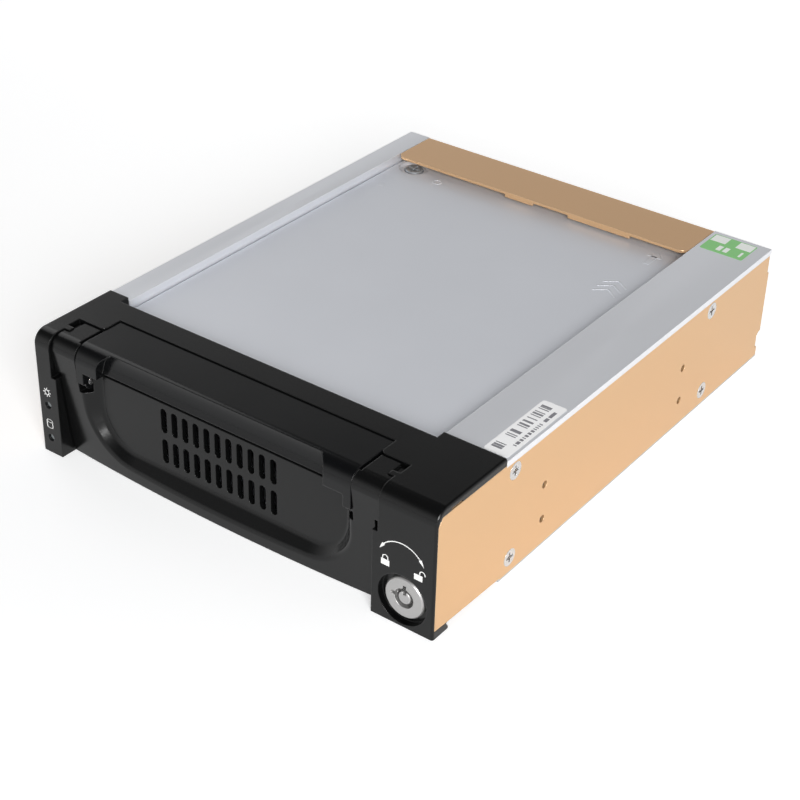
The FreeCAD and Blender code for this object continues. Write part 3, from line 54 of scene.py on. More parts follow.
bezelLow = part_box("front_bezel")[0]
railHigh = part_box("right_rail")[1]
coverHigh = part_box("tray_cover")[1]
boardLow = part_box("backplane_board")[0]
lockLow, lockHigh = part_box("lock_housing")
pipesLow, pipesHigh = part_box("light_pipes")
fanLow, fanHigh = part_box("fan_housing")
lockCentre = (lockLow + lockHigh) / 2
pipesCentre = (pipesLow + pipesHigh) / 2
fanCentre = (fanLow + fanHigh) / 2


# shader groups

def newGroup(name, inputs, outputs):
    group = bpy.data.node_groups.new(name, "ShaderNodeTree")
    for label, kind, value in inputs:
        socket = group.interface.new_socket(name=label, in_out="INPUT", socket_type=kind)
        if value is not None:
            socket.default_value = value
    for label, kind in outputs:
        group.interface.new_socket(name=label, in_out="OUTPUT", socket_type=kind)
    return group, group.nodes.new("NodeGroupInput"), group.nodes.new("NodeGroupOutput")


def mathNode(nodes, links, operation, first, second):
    node = nodes.new("ShaderNodeMath")
    node.operation = operation
    for socket, value in zip(node.inputs, (first, second)):
        if isinstance(value, (int, float)):
            socket.default_value = value
        else:
            links.new(value, socket)
    return node.outputs[0]


# the last two values set where the lighter edge tone starts and where it is full: partly wear,
# partly a painted highlight along the edges
surfaceLook = {"grainDetail": 3.0, "blotchScale": 38.0, "blotchDetail": 4.0,
               "bevelSamples": 6, "wearAndSheenStarts": 0.995, "wearAndSheenFull": 0.86}


def surfaceGroup():
    # grain bump over a rounded-edge normal, with uneven gloss and a slow blotch, and an edge
    # mask for a lighter tone that is partly wear and partly a painted highlight
    group, given, result = newGroup("surfaceDetail", [
        ("Grain Scale", "NodeSocketVector", (2000, 2000, 2000)),
        ("Grain Depth", "NodeSocketFloat", 0.00001),
        ("Edge Radius", "NodeSocketFloat", 0.0003),
        ("Roughness", "NodeSocketFloat", 0.4),
        ("Spread", "NodeSocketFloat", 0.1),
    ], [("Normal", "NodeSocketVector"), ("Roughness", "NodeSocketFloat"),
        ("Blotch", "NodeSocketFloat"), ("Edge", "NodeSocketFloat")])
    nodes, links = group.nodes, group.links
    place = nodes.new("ShaderNodeTexCoord").outputs["Object"]
    stretch = nodes.new("ShaderNodeVectorMath")
    stretch.operation = "MULTIPLY"
    links.new(place, stretch.inputs[0])
    links.new(given.outputs["Grain Scale"], stretch.inputs[1])
    grain = nodes.new("ShaderNodeTexNoise")
    grain.inputs["Scale"].default_value = 1.0
    grain.inputs["Detail"].default_value = surfaceLook["grainDetail"]
    links.new(stretch.outputs[0], grain.inputs["Vector"])
    blotch = nodes.new("ShaderNodeTexNoise")
    blotch.inputs["Scale"].default_value = surfaceLook["blotchScale"]
    blotch.inputs["Detail"].default_value = surfaceLook["blotchDetail"]
    links.new(place, blotch.inputs["Vector"])
    soft = nodes.new("ShaderNodeBevel")
    soft.samples = surfaceLook["bevelSamples"]
    links.new(given.outputs["Edge Radius"], soft.inputs["Radius"])
    bump = nodes.new("ShaderNodeBump")
    bump.inputs["Strength"].default_value = 1.0
    links.new(given.outputs["Grain Depth"], bump.inputs["Distance"])
    links.new(grain.outputs["Fac"], bump.inputs["Height"])
    links.new(soft.outputs["Normal"], bump.inputs["Normal"])
    sharp = nodes.new("ShaderNodeNewGeometry")
    turn = nodes.new("ShaderNodeVectorMath")
    turn.operation = "DOT_PRODUCT"
    links.new(soft.outputs["Normal"], turn.inputs[0])
    links.new(sharp.outputs["Normal"], turn.inputs[1])
    # edge mask from the rounded-edge normal, broken up by the blotch: where the lighter edge
    # tone goes, partly wear and partly a painted highlight
    edge = nodes.new("ShaderNodeMapRange")
    edge.inputs["From Min"].default_value = surfaceLook["wearAndSheenStarts"]
    edge.inputs["From Max"].default_value = surfaceLook["wearAndSheenFull"]
    links.new(turn.outputs["Value"], edge.inputs["Value"])
    edgeWearAndSheen = mathNode(nodes, links, "MULTIPLY", edge.outputs[0], blotch.outputs["Fac"])
    uneven = mathNode(nodes, links, "SUBTRACT", blotch.outputs["Fac"], 0.5)
    uneven = mathNode(nodes, links, "MULTIPLY", uneven, given.outputs["Spread"])
    gloss = mathNode(nodes, links, "ADD", uneven, given.outputs["Roughness"])
    links.new(bump.outputs["Normal"], result.inputs["Normal"])
    links.new(gloss, result.inputs["Roughness"])
    links.new(blotch.outputs["Fac"], result.inputs["Blotch"])
    links.new(edgeWearAndSheen, result.inputs["Edge"])
    return group


surfaceDetail = surfaceGroup()


def mixColour(nodes, links, factor, first, second):
    # inputs 6 and 7 are the node's two colours, and output 2 is their mix
    node = nodes.new("ShaderNodeMix")
    node.data_type = "RGBA"
    links.new(factor, node.inputs["Factor"])
    for socket, value in ((node.inputs[6], first), (node.inputs[7], second)):
        if isinstance(value, tuple):
            socket.default_value = (*value, 1.0)
        else:
            links.new(value, socket)
    return node.outputs[2]


def newMaterial(name):
    material = bpy.data.materials.new(name)
    material.use_nodes = True
    nodes = material.node_tree.nodes
    return material, nodes, material.node_tree.links, nodes["Principled BSDF"]


def addSurface(nodes, links, shader, look):
    detail = nodes.new("ShaderNodeGroup")
    detail.node_tree = surfaceDetail
    detail.inputs["Grain Scale"].default_value = look["grain"]
    detail.inputs["Grain Depth"].default_value = look["depth"]
    detail.inputs["Edge Radius"].default_value = look["edgeRadius"]
    detail.inputs["Roughness"].default_value = look["roughness"]
    detail.inputs["Spread"].default_value = look["spread"]
    links.new(detail.outputs["Normal"], shader.inputs["Normal"])
    links.new(detail.outputs["Roughness"], shader.inputs["Roughness"])
    return detail


def finish(name, look):
    # two close tones mixed by the blotch, and a lighter tone along the edges, partly wear and
    # partly a painted highlight
    material, nodes, links, shader = newMaterial(name)
    detail = addSurface(nodes, links, shader, look)
    body = mixColour(nodes, links, detail.outputs["Blotch"], look["tone"], look["second"])
    colour = mixColour(nodes, links, detail.outputs["Edge"], body, look["edge"])
    links.new(colour, shader.inputs["Base Color"])
    shader.inputs["Metallic"].default_value = look["metallic"]
    shader.inputs["Specular IOR Level"].default_value = look.get("specular", 0.5)
    shader.inputs["Coat Weight"].default_value = look.get("coat", 0.0)
    shader.inputs["Anisotropic"].default_value = look.get("brushed", 0.0)
    return material


plainGrain = (2400, 2400, 2400)
brushedAlong = (3200, 90, 3200)

# each look's edge colour is the lighter tone along its edges: partly wear, partly a painted
# highlight
looks = {
    "blackPlastic": dict(tone=(0.0026, 0.0027, 0.0028), second=(0.0040, 0.0041, 0.0042),
                         edge=(0.02, 0.02, 0.02), metallic=0.0, roughness=0.20, spread=0.08,
                         specular=0.29,
                         grain=plainGrain, depth=0.000012, edgeRadius=0.00035),
    "handlePlastic": dict(tone=(0.0024, 0.0026, 0.0030), second=(0.0036, 0.0038, 0.0042),
                          edge=(0.02, 0.02, 0.02), metallic=0.0, roughness=0.19, spread=0.08,
                          specular=0.29,
                          grain=plainGrain, depth=0.000010, edgeRadius=0.00045),
    "goldSide": dict(tone=(0.66, 0.415, 0.215), second=(0.70, 0.44, 0.23),
                     edge=(0.86, 0.64, 0.42), metallic=0.6, roughness=0.36, spread=0.08,
                     grain=plainGrain, depth=0.000006, edgeRadius=0.0003),
    "goldRear": dict(tone=(0.70, 0.44, 0.235), second=(0.74, 0.465, 0.25),
                     edge=(0.88, 0.66, 0.44), metallic=0.6, roughness=0.36, spread=0.08,
                     grain=plainGrain, depth=0.000006, edgeRadius=0.0004),
    "railAluminium": dict(tone=(0.77, 0.785, 0.825), second=(0.81, 0.825, 0.865),
                          edge=(0.92, 0.93, 0.94), metallic=0.55, roughness=0.36, spread=0.10,
                          grain=brushedAlong, depth=0.000006, edgeRadius=0.0003, brushed=0.3),
    "coverAluminium": dict(tone=(0.73, 0.75, 0.80), second=(0.77, 0.79, 0.84),
                           edge=(0.94, 0.95, 0.96), metallic=0.4, roughness=0.46, spread=0.08,
                           grain=(2600, 700, 2600), depth=0.000008, edgeRadius=0.0003),
    "zincSteel": dict(tone=(0.46, 0.48, 0.50), second=(0.56, 0.58, 0.60),
                      edge=(0.72, 0.73, 0.75), metallic=0.85, roughness=0.34, spread=0.16,
                      grain=(900, 900, 900), depth=0.000008, edgeRadius=0.0003),
    "screwSteel": dict(tone=(0.58, 0.58, 0.58), second=(0.66, 0.66, 0.66),
                       edge=(0.82, 0.82, 0.82), metallic=0.95, roughness=0.26, spread=0.12,
                       grain=(1500, 1500, 1500), depth=0.000006, edgeRadius=0.0002),
    "lockNickel": dict(tone=(0.39, 0.385, 0.38), second=(0.44, 0.435, 0.43),
                       edge=(0.74, 0.74, 0.72), metallic=0.7, roughness=0.34, spread=0.10,
                       grain=(3800, 3800, 3800), depth=0.000014, edgeRadius=0.0003),
    "brassSpacer": dict(tone=(0.62, 0.45, 0.20), second=(0.70, 0.53, 0.27),
                        edge=(0.86, 0.72, 0.44), metallic=1.0, roughness=0.28, spread=0.12,
                        grain=(1500, 1500, 1500), depth=0.000006, edgeRadius=0.0002),
    "connectorBlack": dict(tone=(0.020, 0.020, 0.021), second=(0.030, 0.030, 0.031),
                           edge=(0.08, 0.08, 0.08), metallic=0.0, roughness=0.34, spread=0.10,
                           grain=plainGrain, depth=0.000008, edgeRadius=0.0002),
    "connectorWhite": dict(tone=(0.74, 0.72, 0.64), second=(0.80, 0.78, 0.71),
                           edge=(0.88, 0.87, 0.82), metallic=0.0, roughness=0.36, spread=0.10,
                           grain=plainGrain, depth=0.000006, edgeRadius=0.0002),
    "fanPlastic": dict(tone=(0.018, 0.018, 0.019), second=(0.026, 0.026, 0.027),
                       edge=(0.07, 0.07, 0.07), metallic=0.0, roughness=0.30, spread=0.12,
                       grain=plainGrain, depth=0.000006, edgeRadius=0.0003),
    "catchGrey": dict(tone=(0.40, 0.42, 0.44), second=(0.48, 0.50, 0.52),
                      edge=(0.66, 0.67, 0.69), metallic=0.6, roughness=0.38, spread=0.10,
                      grain=plainGrain, depth=0.000006, edgeRadius=0.00025),
    "printWhite": dict(tone=(0.80, 0.80, 0.79), second=(0.88, 0.88, 0.87),
                       edge=(0.92, 0.92, 0.92), metallic=0.0, roughness=0.5, spread=0.06,
                       grain=plainGrain, depth=0.000004, edgeRadius=0.00002),
    "chipBlack": dict(tone=(0.022, 0.022, 0.024), second=(0.032, 0.032, 0.034),
                      edge=(0.09, 0.09, 0.09), metallic=0.0, roughness=0.45, spread=0.10,
                      grain=(3500, 3500, 3500), depth=0.000010, edgeRadius=0.0001),
}
materials = {name: finish(name, look) for name, look in looks.items()}


boardLook = dict(grain=plainGrain, depth=0.000004, edgeRadius=0.0002, roughness=0.28,
                 spread=0.08, coat=0.3, trackScale=60.0, trackGap=0.012, trackRow=0.16,
                 holeScale=230.0, holeEdge=0.16, holeCore=0.12,
                 mask=(0.010, 0.085, 0.035), maskTwo=(0.014, 0.11, 0.05),
                 track=(0.03, 0.20, 0.09), plated=(0.55, 0.50, 0.36))


def boardMaterial(look):
    # green solder mask over copper tracks, with small plated holes
    material, nodes, links, shader = newMaterial("boardGreen")
    detail = addSurface(nodes, links, shader, look)
    place = nodes.new("ShaderNodeTexCoord").outputs["Object"]
    turned = nodes.new("ShaderNodeMapping")
    turned.inputs["Rotation"].default_value = (math.radians(90), 0, 0)
    links.new(place, turned.inputs["Vector"])
    tracks = nodes.new("ShaderNodeTexBrick")
    tracks.inputs["Scale"].default_value = look["trackScale"]
    tracks.inputs["Mortar Size"].default_value = look["trackGap"]
    tracks.inputs["Row Height"].default_value = look["trackRow"]
    links.new(turned.outputs[0], tracks.inputs["Vector"])
    masked = mixColour(nodes, links, detail.outputs["Blotch"], look["mask"], look["maskTwo"])
    traced = mixColour(nodes, links, tracks.outputs["Fac"], masked, look["track"])
    holes = nodes.new("ShaderNodeTexVoronoi")
    holes.inputs["Scale"].default_value = look["holeScale"]
    links.new(turned.outputs[0], holes.inputs["Vector"])
    ringMask = nodes.new("ShaderNodeMapRange")
    ringMask.inputs["From Min"].default_value = look["holeEdge"]
    ringMask.inputs["From Max"].default_value = look["holeCore"]
    links.new(holes.outputs["Distance"], ringMask.inputs["Value"])
    colour = mixColour(nodes, links, ringMask.outputs[0], traced, look["plated"])
    links.new(colour, shader.inputs["Base Color"])
    shader.inputs["Coat Weight"].default_value = look["coat"]
    return material


lensLook = dict(grain=(600, 600, 600), depth=0.000004, edgeRadius=0.0002, roughness=0.12,
                spread=0.05, tone=(0.62, 0.68, 0.70), second=(0.72, 0.78, 0.80),
                clear=0.6, bend=1.49)


def lensMaterial(look):
    # milky acrylic
    material, nodes, links, shader = newMaterial("lensClear")
    detail = addSurface(nodes, links, shader, look)
    colour = mixColour(nodes, links, detail.outputs["Blotch"], look["tone"], look["second"])
    links.new(colour, shader.inputs["Base Color"])
    shader.inputs["Transmission Weight"].default_value = look["clear"]
    shader.inputs["IOR"].default_value = look["bend"]
    return material


paperLook = dict(grain=(1800, 1800, 1800), depth=0.000003, edgeRadius=0.00002,
                 roughness=0.42, spread=0.06)


def labelMaterial(name, label):
    # printed sticker: each band of ink is whole, or broken by chance into plain bars
    material, nodes, links, shader = newMaterial(name)
    detail = addSurface(nodes, links, shader, paperLook)
    spot = nodes.new("ShaderNodeSeparateXYZ")
    links.new(nodes.new("ShaderNodeTexCoord").outputs["Object"], spot.inputs[0])
    along = spot.outputs[label["along"]]
    across = spot.outputs[label["across"]]

    def inside(value, low, high):
        above = mathNode(nodes, links, "GREATER_THAN", value, low)
        below = mathNode(nodes, links, "LESS_THAN", value, high)
        return mathNode(nodes, links, "MULTIPLY", above, below)

    def marks(pitch, share, seed):
        step = mathNode(nodes, links, "DIVIDE", along, pitch)
        step = mathNode(nodes, links, "ADD", mathNode(nodes, links, "FLOOR", step, 0.0), seed)
        chance = nodes.new("ShaderNodeTexWhiteNoise")
        chance.noise_dimensions = "1D"
        links.new(step, chance.inputs["W"])
        return mathNode(nodes, links, "LESS_THAN", chance.outputs["Value"], share)

    ink = None
    for band in label["bands"]:
        area = mathNode(nodes, links, "MULTIPLY", inside(across, *band[label["across"]]),
                        inside(along, *band[label["along"]]))
        drawn = mathNode(nodes, links, "MULTIPLY", area,
                         marks(band["pitch"], band["share"], band["seed"]))
        ink = drawn if ink is None else mathNode(nodes, links, "MAXIMUM", ink, drawn)
    paper = mixColour(nodes, links, detail.outputs["Blotch"], label["paper"], label["paperTwo"])
    links.new(mixColour(nodes, links, ink, paper, label["ink"]), shader.inputs["Base Color"])
    return material


materials["boardGreen"] = boardMaterial(boardLook)
materials["lensClear"] = lensMaterial(lensLook)
print("materials made:", len(materials))

nodeFinish = {
    "blackPlastic": ["front_bezel", "tray_front"],
    "handlePlastic": ["handle"],
    "goldSide": ["left_side_plate", "right_side_plate"],
    "goldRear": ["rear_panel"],
    "railAluminium": ["left_rail", "right_rail"],
    "coverAluminium": ["tray_cover"],
    "zincSteel": ["bottom_plate", "tray_pan", "catch_bracket", "lock_tongue"],
    "screwSteel": ["side_screws", "fan_screws", "tray_front_screws", "handle_pins", "lock_nut",
                   "catch_spring"],
    "lockNickel": ["lock_housing", "lock_barrel"],
    "brassSpacer": ["backplane_spacers"],
    "connectorBlack": ["dock_socket", "dock_plug", "drive_socket", "data_port", "key_switch"],
    "connectorWhite": ["power_port"],
    "fanPlastic": ["fan_housing", "fan_rotor"],
    "catchGrey": ["catch_button"],
    "boardGreen": ["backplane_board", "tray_board", "led_board"],
    "lensClear": ["light_pipes", "indicator_leds"],
}
for finishName, nodeNames in nodeFinish.items():
    for nodeName in nodeNames:
        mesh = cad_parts[nodeName].data
        mesh.materials.clear()
        mesh.materials.append(materials[finishName])
dressed = sum(len(names) for names in nodeFinish.values())
print("nodes dressed:", dressed, "of", len(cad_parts))


# flat marks, drawn in a plane and then stood where they belong

def ribbonArc(bm, centre, radius, width, start, sweep, steps=24):
    inner = bm.verts.new((centre[0] + radius - width / 2, centre[1], 0))
    outer = bm.verts.new((centre[0] + radius + width / 2, centre[1], 0))
    line = bm.edges.new((inner, outer))
    pivot = Vector((centre[0], centre[1], 0))
    bmesh.ops.rotate(bm, verts=[inner, outer], cent=pivot,
                     matrix=Matrix.Rotation(math.radians(start), 3, "Z"))
    whole = abs(sweep) >= 360
    bmesh.ops.spin(bm, geom=[inner, outer, line], cent=pivot, axis=(0, 0, 1),
                   angle=math.radians(sweep), steps=steps, use_merge=whole)


def bar(bm, start, end, width):
    run = Vector(end) - Vector(start)
    made = bmesh.ops.create_grid(bm, x_segments=1, y_segments=1, size=0.5)["verts"]
    bmesh.ops.scale(bm, vec=(run.length, width, 1), verts=made)
    bmesh.ops.rotate(bm, verts=made, cent=(0, 0, 0),
                     matrix=Matrix.Rotation(math.atan2(run.y, run.x), 3, "Z"))
    middle = (Vector(start) + Vector(end)) / 2
    bmesh.ops.translate(bm, verts=made, vec=(middle.x, middle.y, 0))


def disc(bm, centre, radius, segments, squash=1.0):
    # three segments make a triangle
    made = bmesh.ops.create_circle(bm, cap_ends=True, segments=segments, radius=radius)["verts"]
    bmesh.ops.scale(bm, vec=(1, squash, 1), verts=made)
    bmesh.ops.translate(bm, verts=made, vec=(centre[0], centre[1], 0))


def arrowHead(bm, neck, pointing, long, wide):
    # a slim triangle whose foot is at the neck, pointing along an angle in degrees
    made = bmesh.ops.create_circle(bm, cap_ends=True, segments=3, radius=2 / 3)["verts"]
    sideOverHeight = 2 / math.sqrt(3)
    tip = max(made, key=lambda vert: vert.co.y)
    bmesh.ops.translate(bm, verts=made, vec=(0, 1 - tip.co.y, 0))
    bmesh.ops.scale(bm, vec=(wide / sideOverHeight, long, 1), verts=made)
    bmesh.ops.rotate(bm, verts=made, cent=(0, 0, 0),
                     matrix=Matrix.Rotation(math.radians(pointing - 90), 3, "Z"))
    bmesh.ops.translate(bm, verts=made, vec=(neck[0], neck[1], 0))


def newPiece(name, bm, body, materialName):
    mesh = bpy.data.meshes.new(name)
    bmesh.ops.recalc_face_normals(bm, faces=bm.faces)
    bm.to_mesh(mesh)
    bm.free()
    mesh.materials.append(materials[materialName])
    piece = bpy.data.objects.new(name, mesh)
    scene.collection.objects.link(piece)
    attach(piece, body)


weldReach = 0.000001


def thicken(bm, thickness):
    # every face looks up before the plane is given its thickness
    bmesh.ops.remove_doubles(bm, verts=bm.verts, dist=weldReach)
    bmesh.ops.recalc_face_normals(bm, faces=bm.faces)
    for face in bm.faces:
        if face.normal.z < 0:
            face.normal_flip()
    bmesh.ops.solidify(bm, geom=bm.faces[:], thickness=thickness)


quarterTurn = Matrix.Rotation(math.radians(90), 3, "X")


def standOnFront(bm, x, z, proud):
    # the drawing's plane turns to face the front
    bmesh.ops.rotate(bm, verts=bm.verts, cent=(0, 0, 0), matrix=quarterTurn)
    bmesh.ops.translate(bm, verts=bm.verts, vec=(x, bezelLow.y - proud, z))


printing = {"thickness": 0.06 * mm, "proud": 0.02 * mm, "line": 0.30 * mm}

sunMark = {"height": 21.7 * mm, "radius": 0.85 * mm, "rays": 8, "rayStart": 1.15 * mm,
           "rayEnd": 1.55 * mm}
drumMark = {"height": 10.5 * mm, "width": 2.3 * mm, "tall": 2.0 * mm, "flat": 0.45}


def sunPiece():
    bm = bmesh.new()
    ribbonArc(bm, (0, 0), sunMark["radius"], printing["line"], 0, 360)
    for ray in range(sunMark["rays"]):
        angle = 2 * math.pi * ray / sunMark["rays"]
        reach = Vector((math.cos(angle), math.sin(angle)))
        bar(bm, reach * sunMark["rayStart"], reach * sunMark["rayEnd"], printing["line"])
    thicken(bm, printing["thickness"])
    standOnFront(bm, pipesCentre.x, sunMark["height"], printing["proud"])
    newPiece("power_mark", bm, "frame", "printWhite")


def drumPiece():
    # a small drum: oval top, two sides and a round foot
    bm = bmesh.new()
    half = drumMark["width"] / 2
    top = drumMark["tall"] / 2
    ribbonArc(bm, (0, 0), half, printing["line"], 0, 360)
    bmesh.ops.scale(bm, vec=(1, drumMark["flat"], 1), verts=bm.verts)
    bmesh.ops.translate(bm, verts=bm.verts, vec=(0, top, 0))
    before = set(bm.verts)
    ribbonArc(bm, (0, 0), half, printing["line"], 180, 180)
    foot = [vert for vert in bm.verts if vert not in before]
    bmesh.ops.scale(bm, vec=(1, drumMark["flat"], 1), verts=foot)
    bmesh.ops.translate(bm, verts=foot, vec=(0, -top, 0))
    for side in (-half, half):
        bar(bm, (side, -top), (side, top), printing["line"])
    thicken(bm, printing["thickness"])
    standOnFront(bm, pipesCentre.x, drumMark["height"], printing["proud"])
    newPiece("drive_mark", bm, "frame", "printWhite")


turnMark = {"radius": 8.0 * mm, "height": 18.4 * mm, "aside": -0.5 * mm, "sweep": 96.0,
            "headLong": 2.3 * mm, "headWide": 1.05 * mm, "headTurn": 98.0}


def turnArrowPiece():
    # a bow over the lock, with an arrow head at each end
    bm = bmesh.new()
    start = 90 - turnMark["sweep"] / 2
    centre = (0, -turnMark["radius"])
    ribbonArc(bm, centre, turnMark["radius"], printing["line"], start, turnMark["sweep"])
    for side in (-1, 1):
        angle = math.radians(90 + side * turnMark["sweep"] / 2)
        neck = (centre[0] + turnMark["radius"] * math.cos(angle),
                centre[1] + turnMark["radius"] * math.sin(angle))
        arrowHead(bm, neck, math.degrees(angle) + side * turnMark["headTurn"],
                  turnMark["headLong"], turnMark["headWide"])
    thicken(bm, printing["thickness"])
    standOnFront(bm, lockCentre.x + turnMark["aside"], lockCentre.z + turnMark["height"],
                 printing["proud"])
    newPiece("turn_mark", bm, "frame", "printWhite")


padlockMark = {"width": 2.7 * mm, "tall": 1.9 * mm, "bow": 0.85 * mm, "height": 10.9 * mm,
               "left": -5.8 * mm, "right": 5.0 * mm, "legSunk": 0.1 * mm,
               "swing": 1.5, "legShare": 0.7, "openFoot": 0.45}


def padlockPiece(name, aside, opened):
    bm = bmesh.new()
    half = padlockMark["width"] / 2
    body = padlockMark["tall"]
    bar(bm, (-half, -body / 2), (half, -body / 2), body)
    shift = padlockMark["bow"] * padlockMark["swing"] if opened else 0.0
    leg = padlockMark["bow"] * padlockMark["legShare"]
    ribbonArc(bm, (shift, leg), padlockMark["bow"], printing["line"], 0, 180)
    for leftOrRight in (-1, 1):
        foot = -padlockMark["legSunk"]
        if opened and leftOrRight == 1:
            foot = leg * padlockMark["openFoot"]
        x = shift + leftOrRight * padlockMark["bow"]
        bar(bm, (x, foot), (x, leg), printing["line"])
    thicken(bm, printing["thickness"])
    standOnFront(bm, lockCentre.x + aside, lockCentre.z + padlockMark["height"],
                 printing["proud"])
    newPiece(name, bm, "frame", "printWhite")


sunPiece()
drumPiece()
turnArrowPiece()
padlockPiece("locked_mark", padlockMark["left"], False)
padlockPiece("unlocked_mark", padlockMark["right"], True)
print("front marks printed")


# stickers on the top faces

# sides in millimetres across, and back from the bezel's front
railSticker = {"x": (64.0, 72.0), "y": (33.3, 63.6), "corner": 0.8 * mm}
rearSticker = {"x": (53.5, 68.8), "y": (173.7, 185.5), "corner": 0.6 * mm}
stickerSheet = {"thickness": 0.10 * mm, "proud": 0.04 * mm, "cornerSteps": 4}


def fromFront(y):
    return bezelLow.y + y * mm


def stickerPiece(name, sticker, height, materialName):
    bm = bmesh.new()
    wide = (sticker["x"][1] - sticker["x"][0]) * mm
    deep = (sticker["y"][1] - sticker["y"][0]) * mm
    bmesh.ops.create_grid(bm, x_segments=1, y_segments=1, size=0.5)
    bmesh.ops.scale(bm, vec=(wide, deep, 1), verts=bm.verts)
    bmesh.ops.bevel(bm, geom=bm.verts[:], offset=sticker["corner"],
                    segments=stickerSheet["cornerSteps"], profile=0.5, affect="VERTICES",
                    material=-1)
    thicken(bm, stickerSheet["thickness"])
    middle = ((sticker["x"][0] + sticker["x"][1]) / 2 * mm,
              fromFront((sticker["y"][0] + sticker["y"][1]) / 2), height)
    bmesh.ops.translate(bm, verts=bm.verts, vec=middle)
    top = max(vert.co.z for vert in bm.verts)
    bmesh.ops.translate(bm, verts=bm.verts,
                        vec=(0, 0, height + stickerSheet["proud"] - top))
    newPiece(name, bm, "frame", materialName)


def inkBand(sides, ends, pitch=40.0, share=1.1, seed=1.0):
    # placed as the stickers are; the pitch and share that come by default leave it whole
    return {"X": tuple(x * mm for x in sides), "Y": tuple(fromFront(y) for y in ends),
            "pitch": pitch * mm, "share": share, "seed": seed}


materials["railLabel"] = labelMaterial("railLabel", {
    "along": "Y", "across": "X", "paper": (0.96, 0.96, 0.97), "paperTwo": (0.99, 0.99, 0.99),
    "ink": (0.22, 0.22, 0.24),
    "bands": [
        inkBand((65.0, 68.4), (36.5, 60.5), pitch=0.45, share=0.36, seed=3.0),
        inkBand((65.0, 68.4), (35.6, 36.5)),
        inkBand((65.0, 68.4), (60.5, 61.4)),
        inkBand((69.7, 70.8), (38.0, 60.0), pitch=0.5, share=0.5, seed=11.0),
    ]})
materials["rearLabel"] = labelMaterial("rearLabel", {
    "along": "X", "across": "Y", "paper": (0.22, 0.60, 0.19), "paperTwo": (0.28, 0.66, 0.25),
    "ink": (0.93, 0.96, 0.92),
    "bands": [
        inkBand((53.9, 59.3), (180.6, 185.2)),
        inkBand((63.0, 68.4), (180.6, 185.2)),
        inkBand((54.8, 67.6), (175.4, 178.8), pitch=0.8, share=0.5, seed=6.0),
    ]})
stickerPiece("rail_sticker", railSticker, railHigh.z, "railLabel")
stickerPiece("rear_sticker", rearSticker, railHigh.z, "rearLabel")
print("stickers laid")


# marks stamped in the sliding cover

# places are millimetres from the middle and from the bezel's front
stamp = {"raise": 0.06 * mm, "sink": 0.2 * mm}
slideArrow = {"at": (43.0, 161.0), "foot": 3.4 * mm, "neck": 2.6 * mm, "shaft": 2.2 * mm,
              "headAt": 3.4 * mm, "head": 3.1 * mm, "squash": 0.8}
chevrons = {"at": (42.5, 137.0), "rows": 3, "pitch": 3.4 * mm, "reach": 4.2 * mm,
            "rise": 1.6 * mm, "line": 0.7 * mm}
catchArrow = {"at": (-58.0, 150.0), "radius": 1.7 * mm}
catchDot = {"at": (-44.5, 164.0), "radius": 1.5 * mm, "line": 0.6 * mm}


def stampedPiece(name, bm, place):
    thicken(bm, stamp["raise"] + stamp["sink"])
    top = max(vert.co.z for vert in bm.verts)
    height = coverHigh.z + stamp["raise"] - top
    bmesh.ops.translate(bm, verts=bm.verts, vec=(place[0] * mm, fromFront(place[1]), height))
    newPiece(name, bm, "cover", "coverAluminium")


def slideArrowPiece():
    bm = bmesh.new()
    bar(bm, (0, -slideArrow["foot"]), (0, slideArrow["neck"]), slideArrow["shaft"])
    disc(bm, (0, slideArrow["headAt"]), slideArrow["head"], segments=3,
         squash=slideArrow["squash"])
    stampedPiece("slide_arrow", bm, slideArrow["at"])


def chevronPiece():
    bm = bmesh.new()
    for row in range(chevrons["rows"]):
        foot = (row - (chevrons["rows"] - 1) / 2) * chevrons["pitch"]
        for side in (-1, 1):
            bar(bm, (side * chevrons["reach"], foot - chevrons["rise"]),
                (0, foot + chevrons["rise"]), chevrons["line"])
    stampedPiece("slide_chevrons", bm, chevrons["at"])


def catchMarks():
    bm = bmesh.new()
    disc(bm, (0, 0), catchArrow["radius"], segments=3)
    stampedPiece("catch_arrow", bm, catchArrow["at"])
    bm = bmesh.new()
    ribbonArc(bm, (0, 0), catchDot["radius"], catchDot["line"], 0, 360)
    stampedPiece("catch_dot", bm, catchDot["at"])


slideArrowPiece()
chevronPiece()
catchMarks()
print("cover stamped")


# parts on the circuit boards

def chip(bm, centre, size, bevel):
    made = bmesh.ops.create_cube(bm, size=1.0)["verts"]
    bmesh.ops.scale(bm, vec=size, verts=made)
    bmesh.ops.translate(bm, verts=made, vec=centre)
    edges = list({edge for vert in made for edge in vert.link_edges})
    bmesh.ops.bevel(bm, geom=edges, offset=bevel, segments=1, profile=0.5, affect="EDGES",
                    material=-1)


boardChips = [  # across from the board's left edge, up from its foot, width, height
    (18.0, 5.0, 8.0, 3.0), (50.0, 5.5, 5.0, 4.0), (12.0, 24.0, 6.0, 3.4), (56.0, 23.5, 3.2, 3.2),
]
chipLook = {"deep": 1.0 * mm, "sunk": 0.05 * mm, "bevel": 0.12 * mm}
smallParts = {"count": 10, "first": 8.0, "pitch": 5.3, "up": 25.6, "size": (1.6, 0.6, 0.8),
              "sunk": 0.05 * mm, "bevel": 0.08 * mm, "upperRow": 20.0, "clear": 0.8}


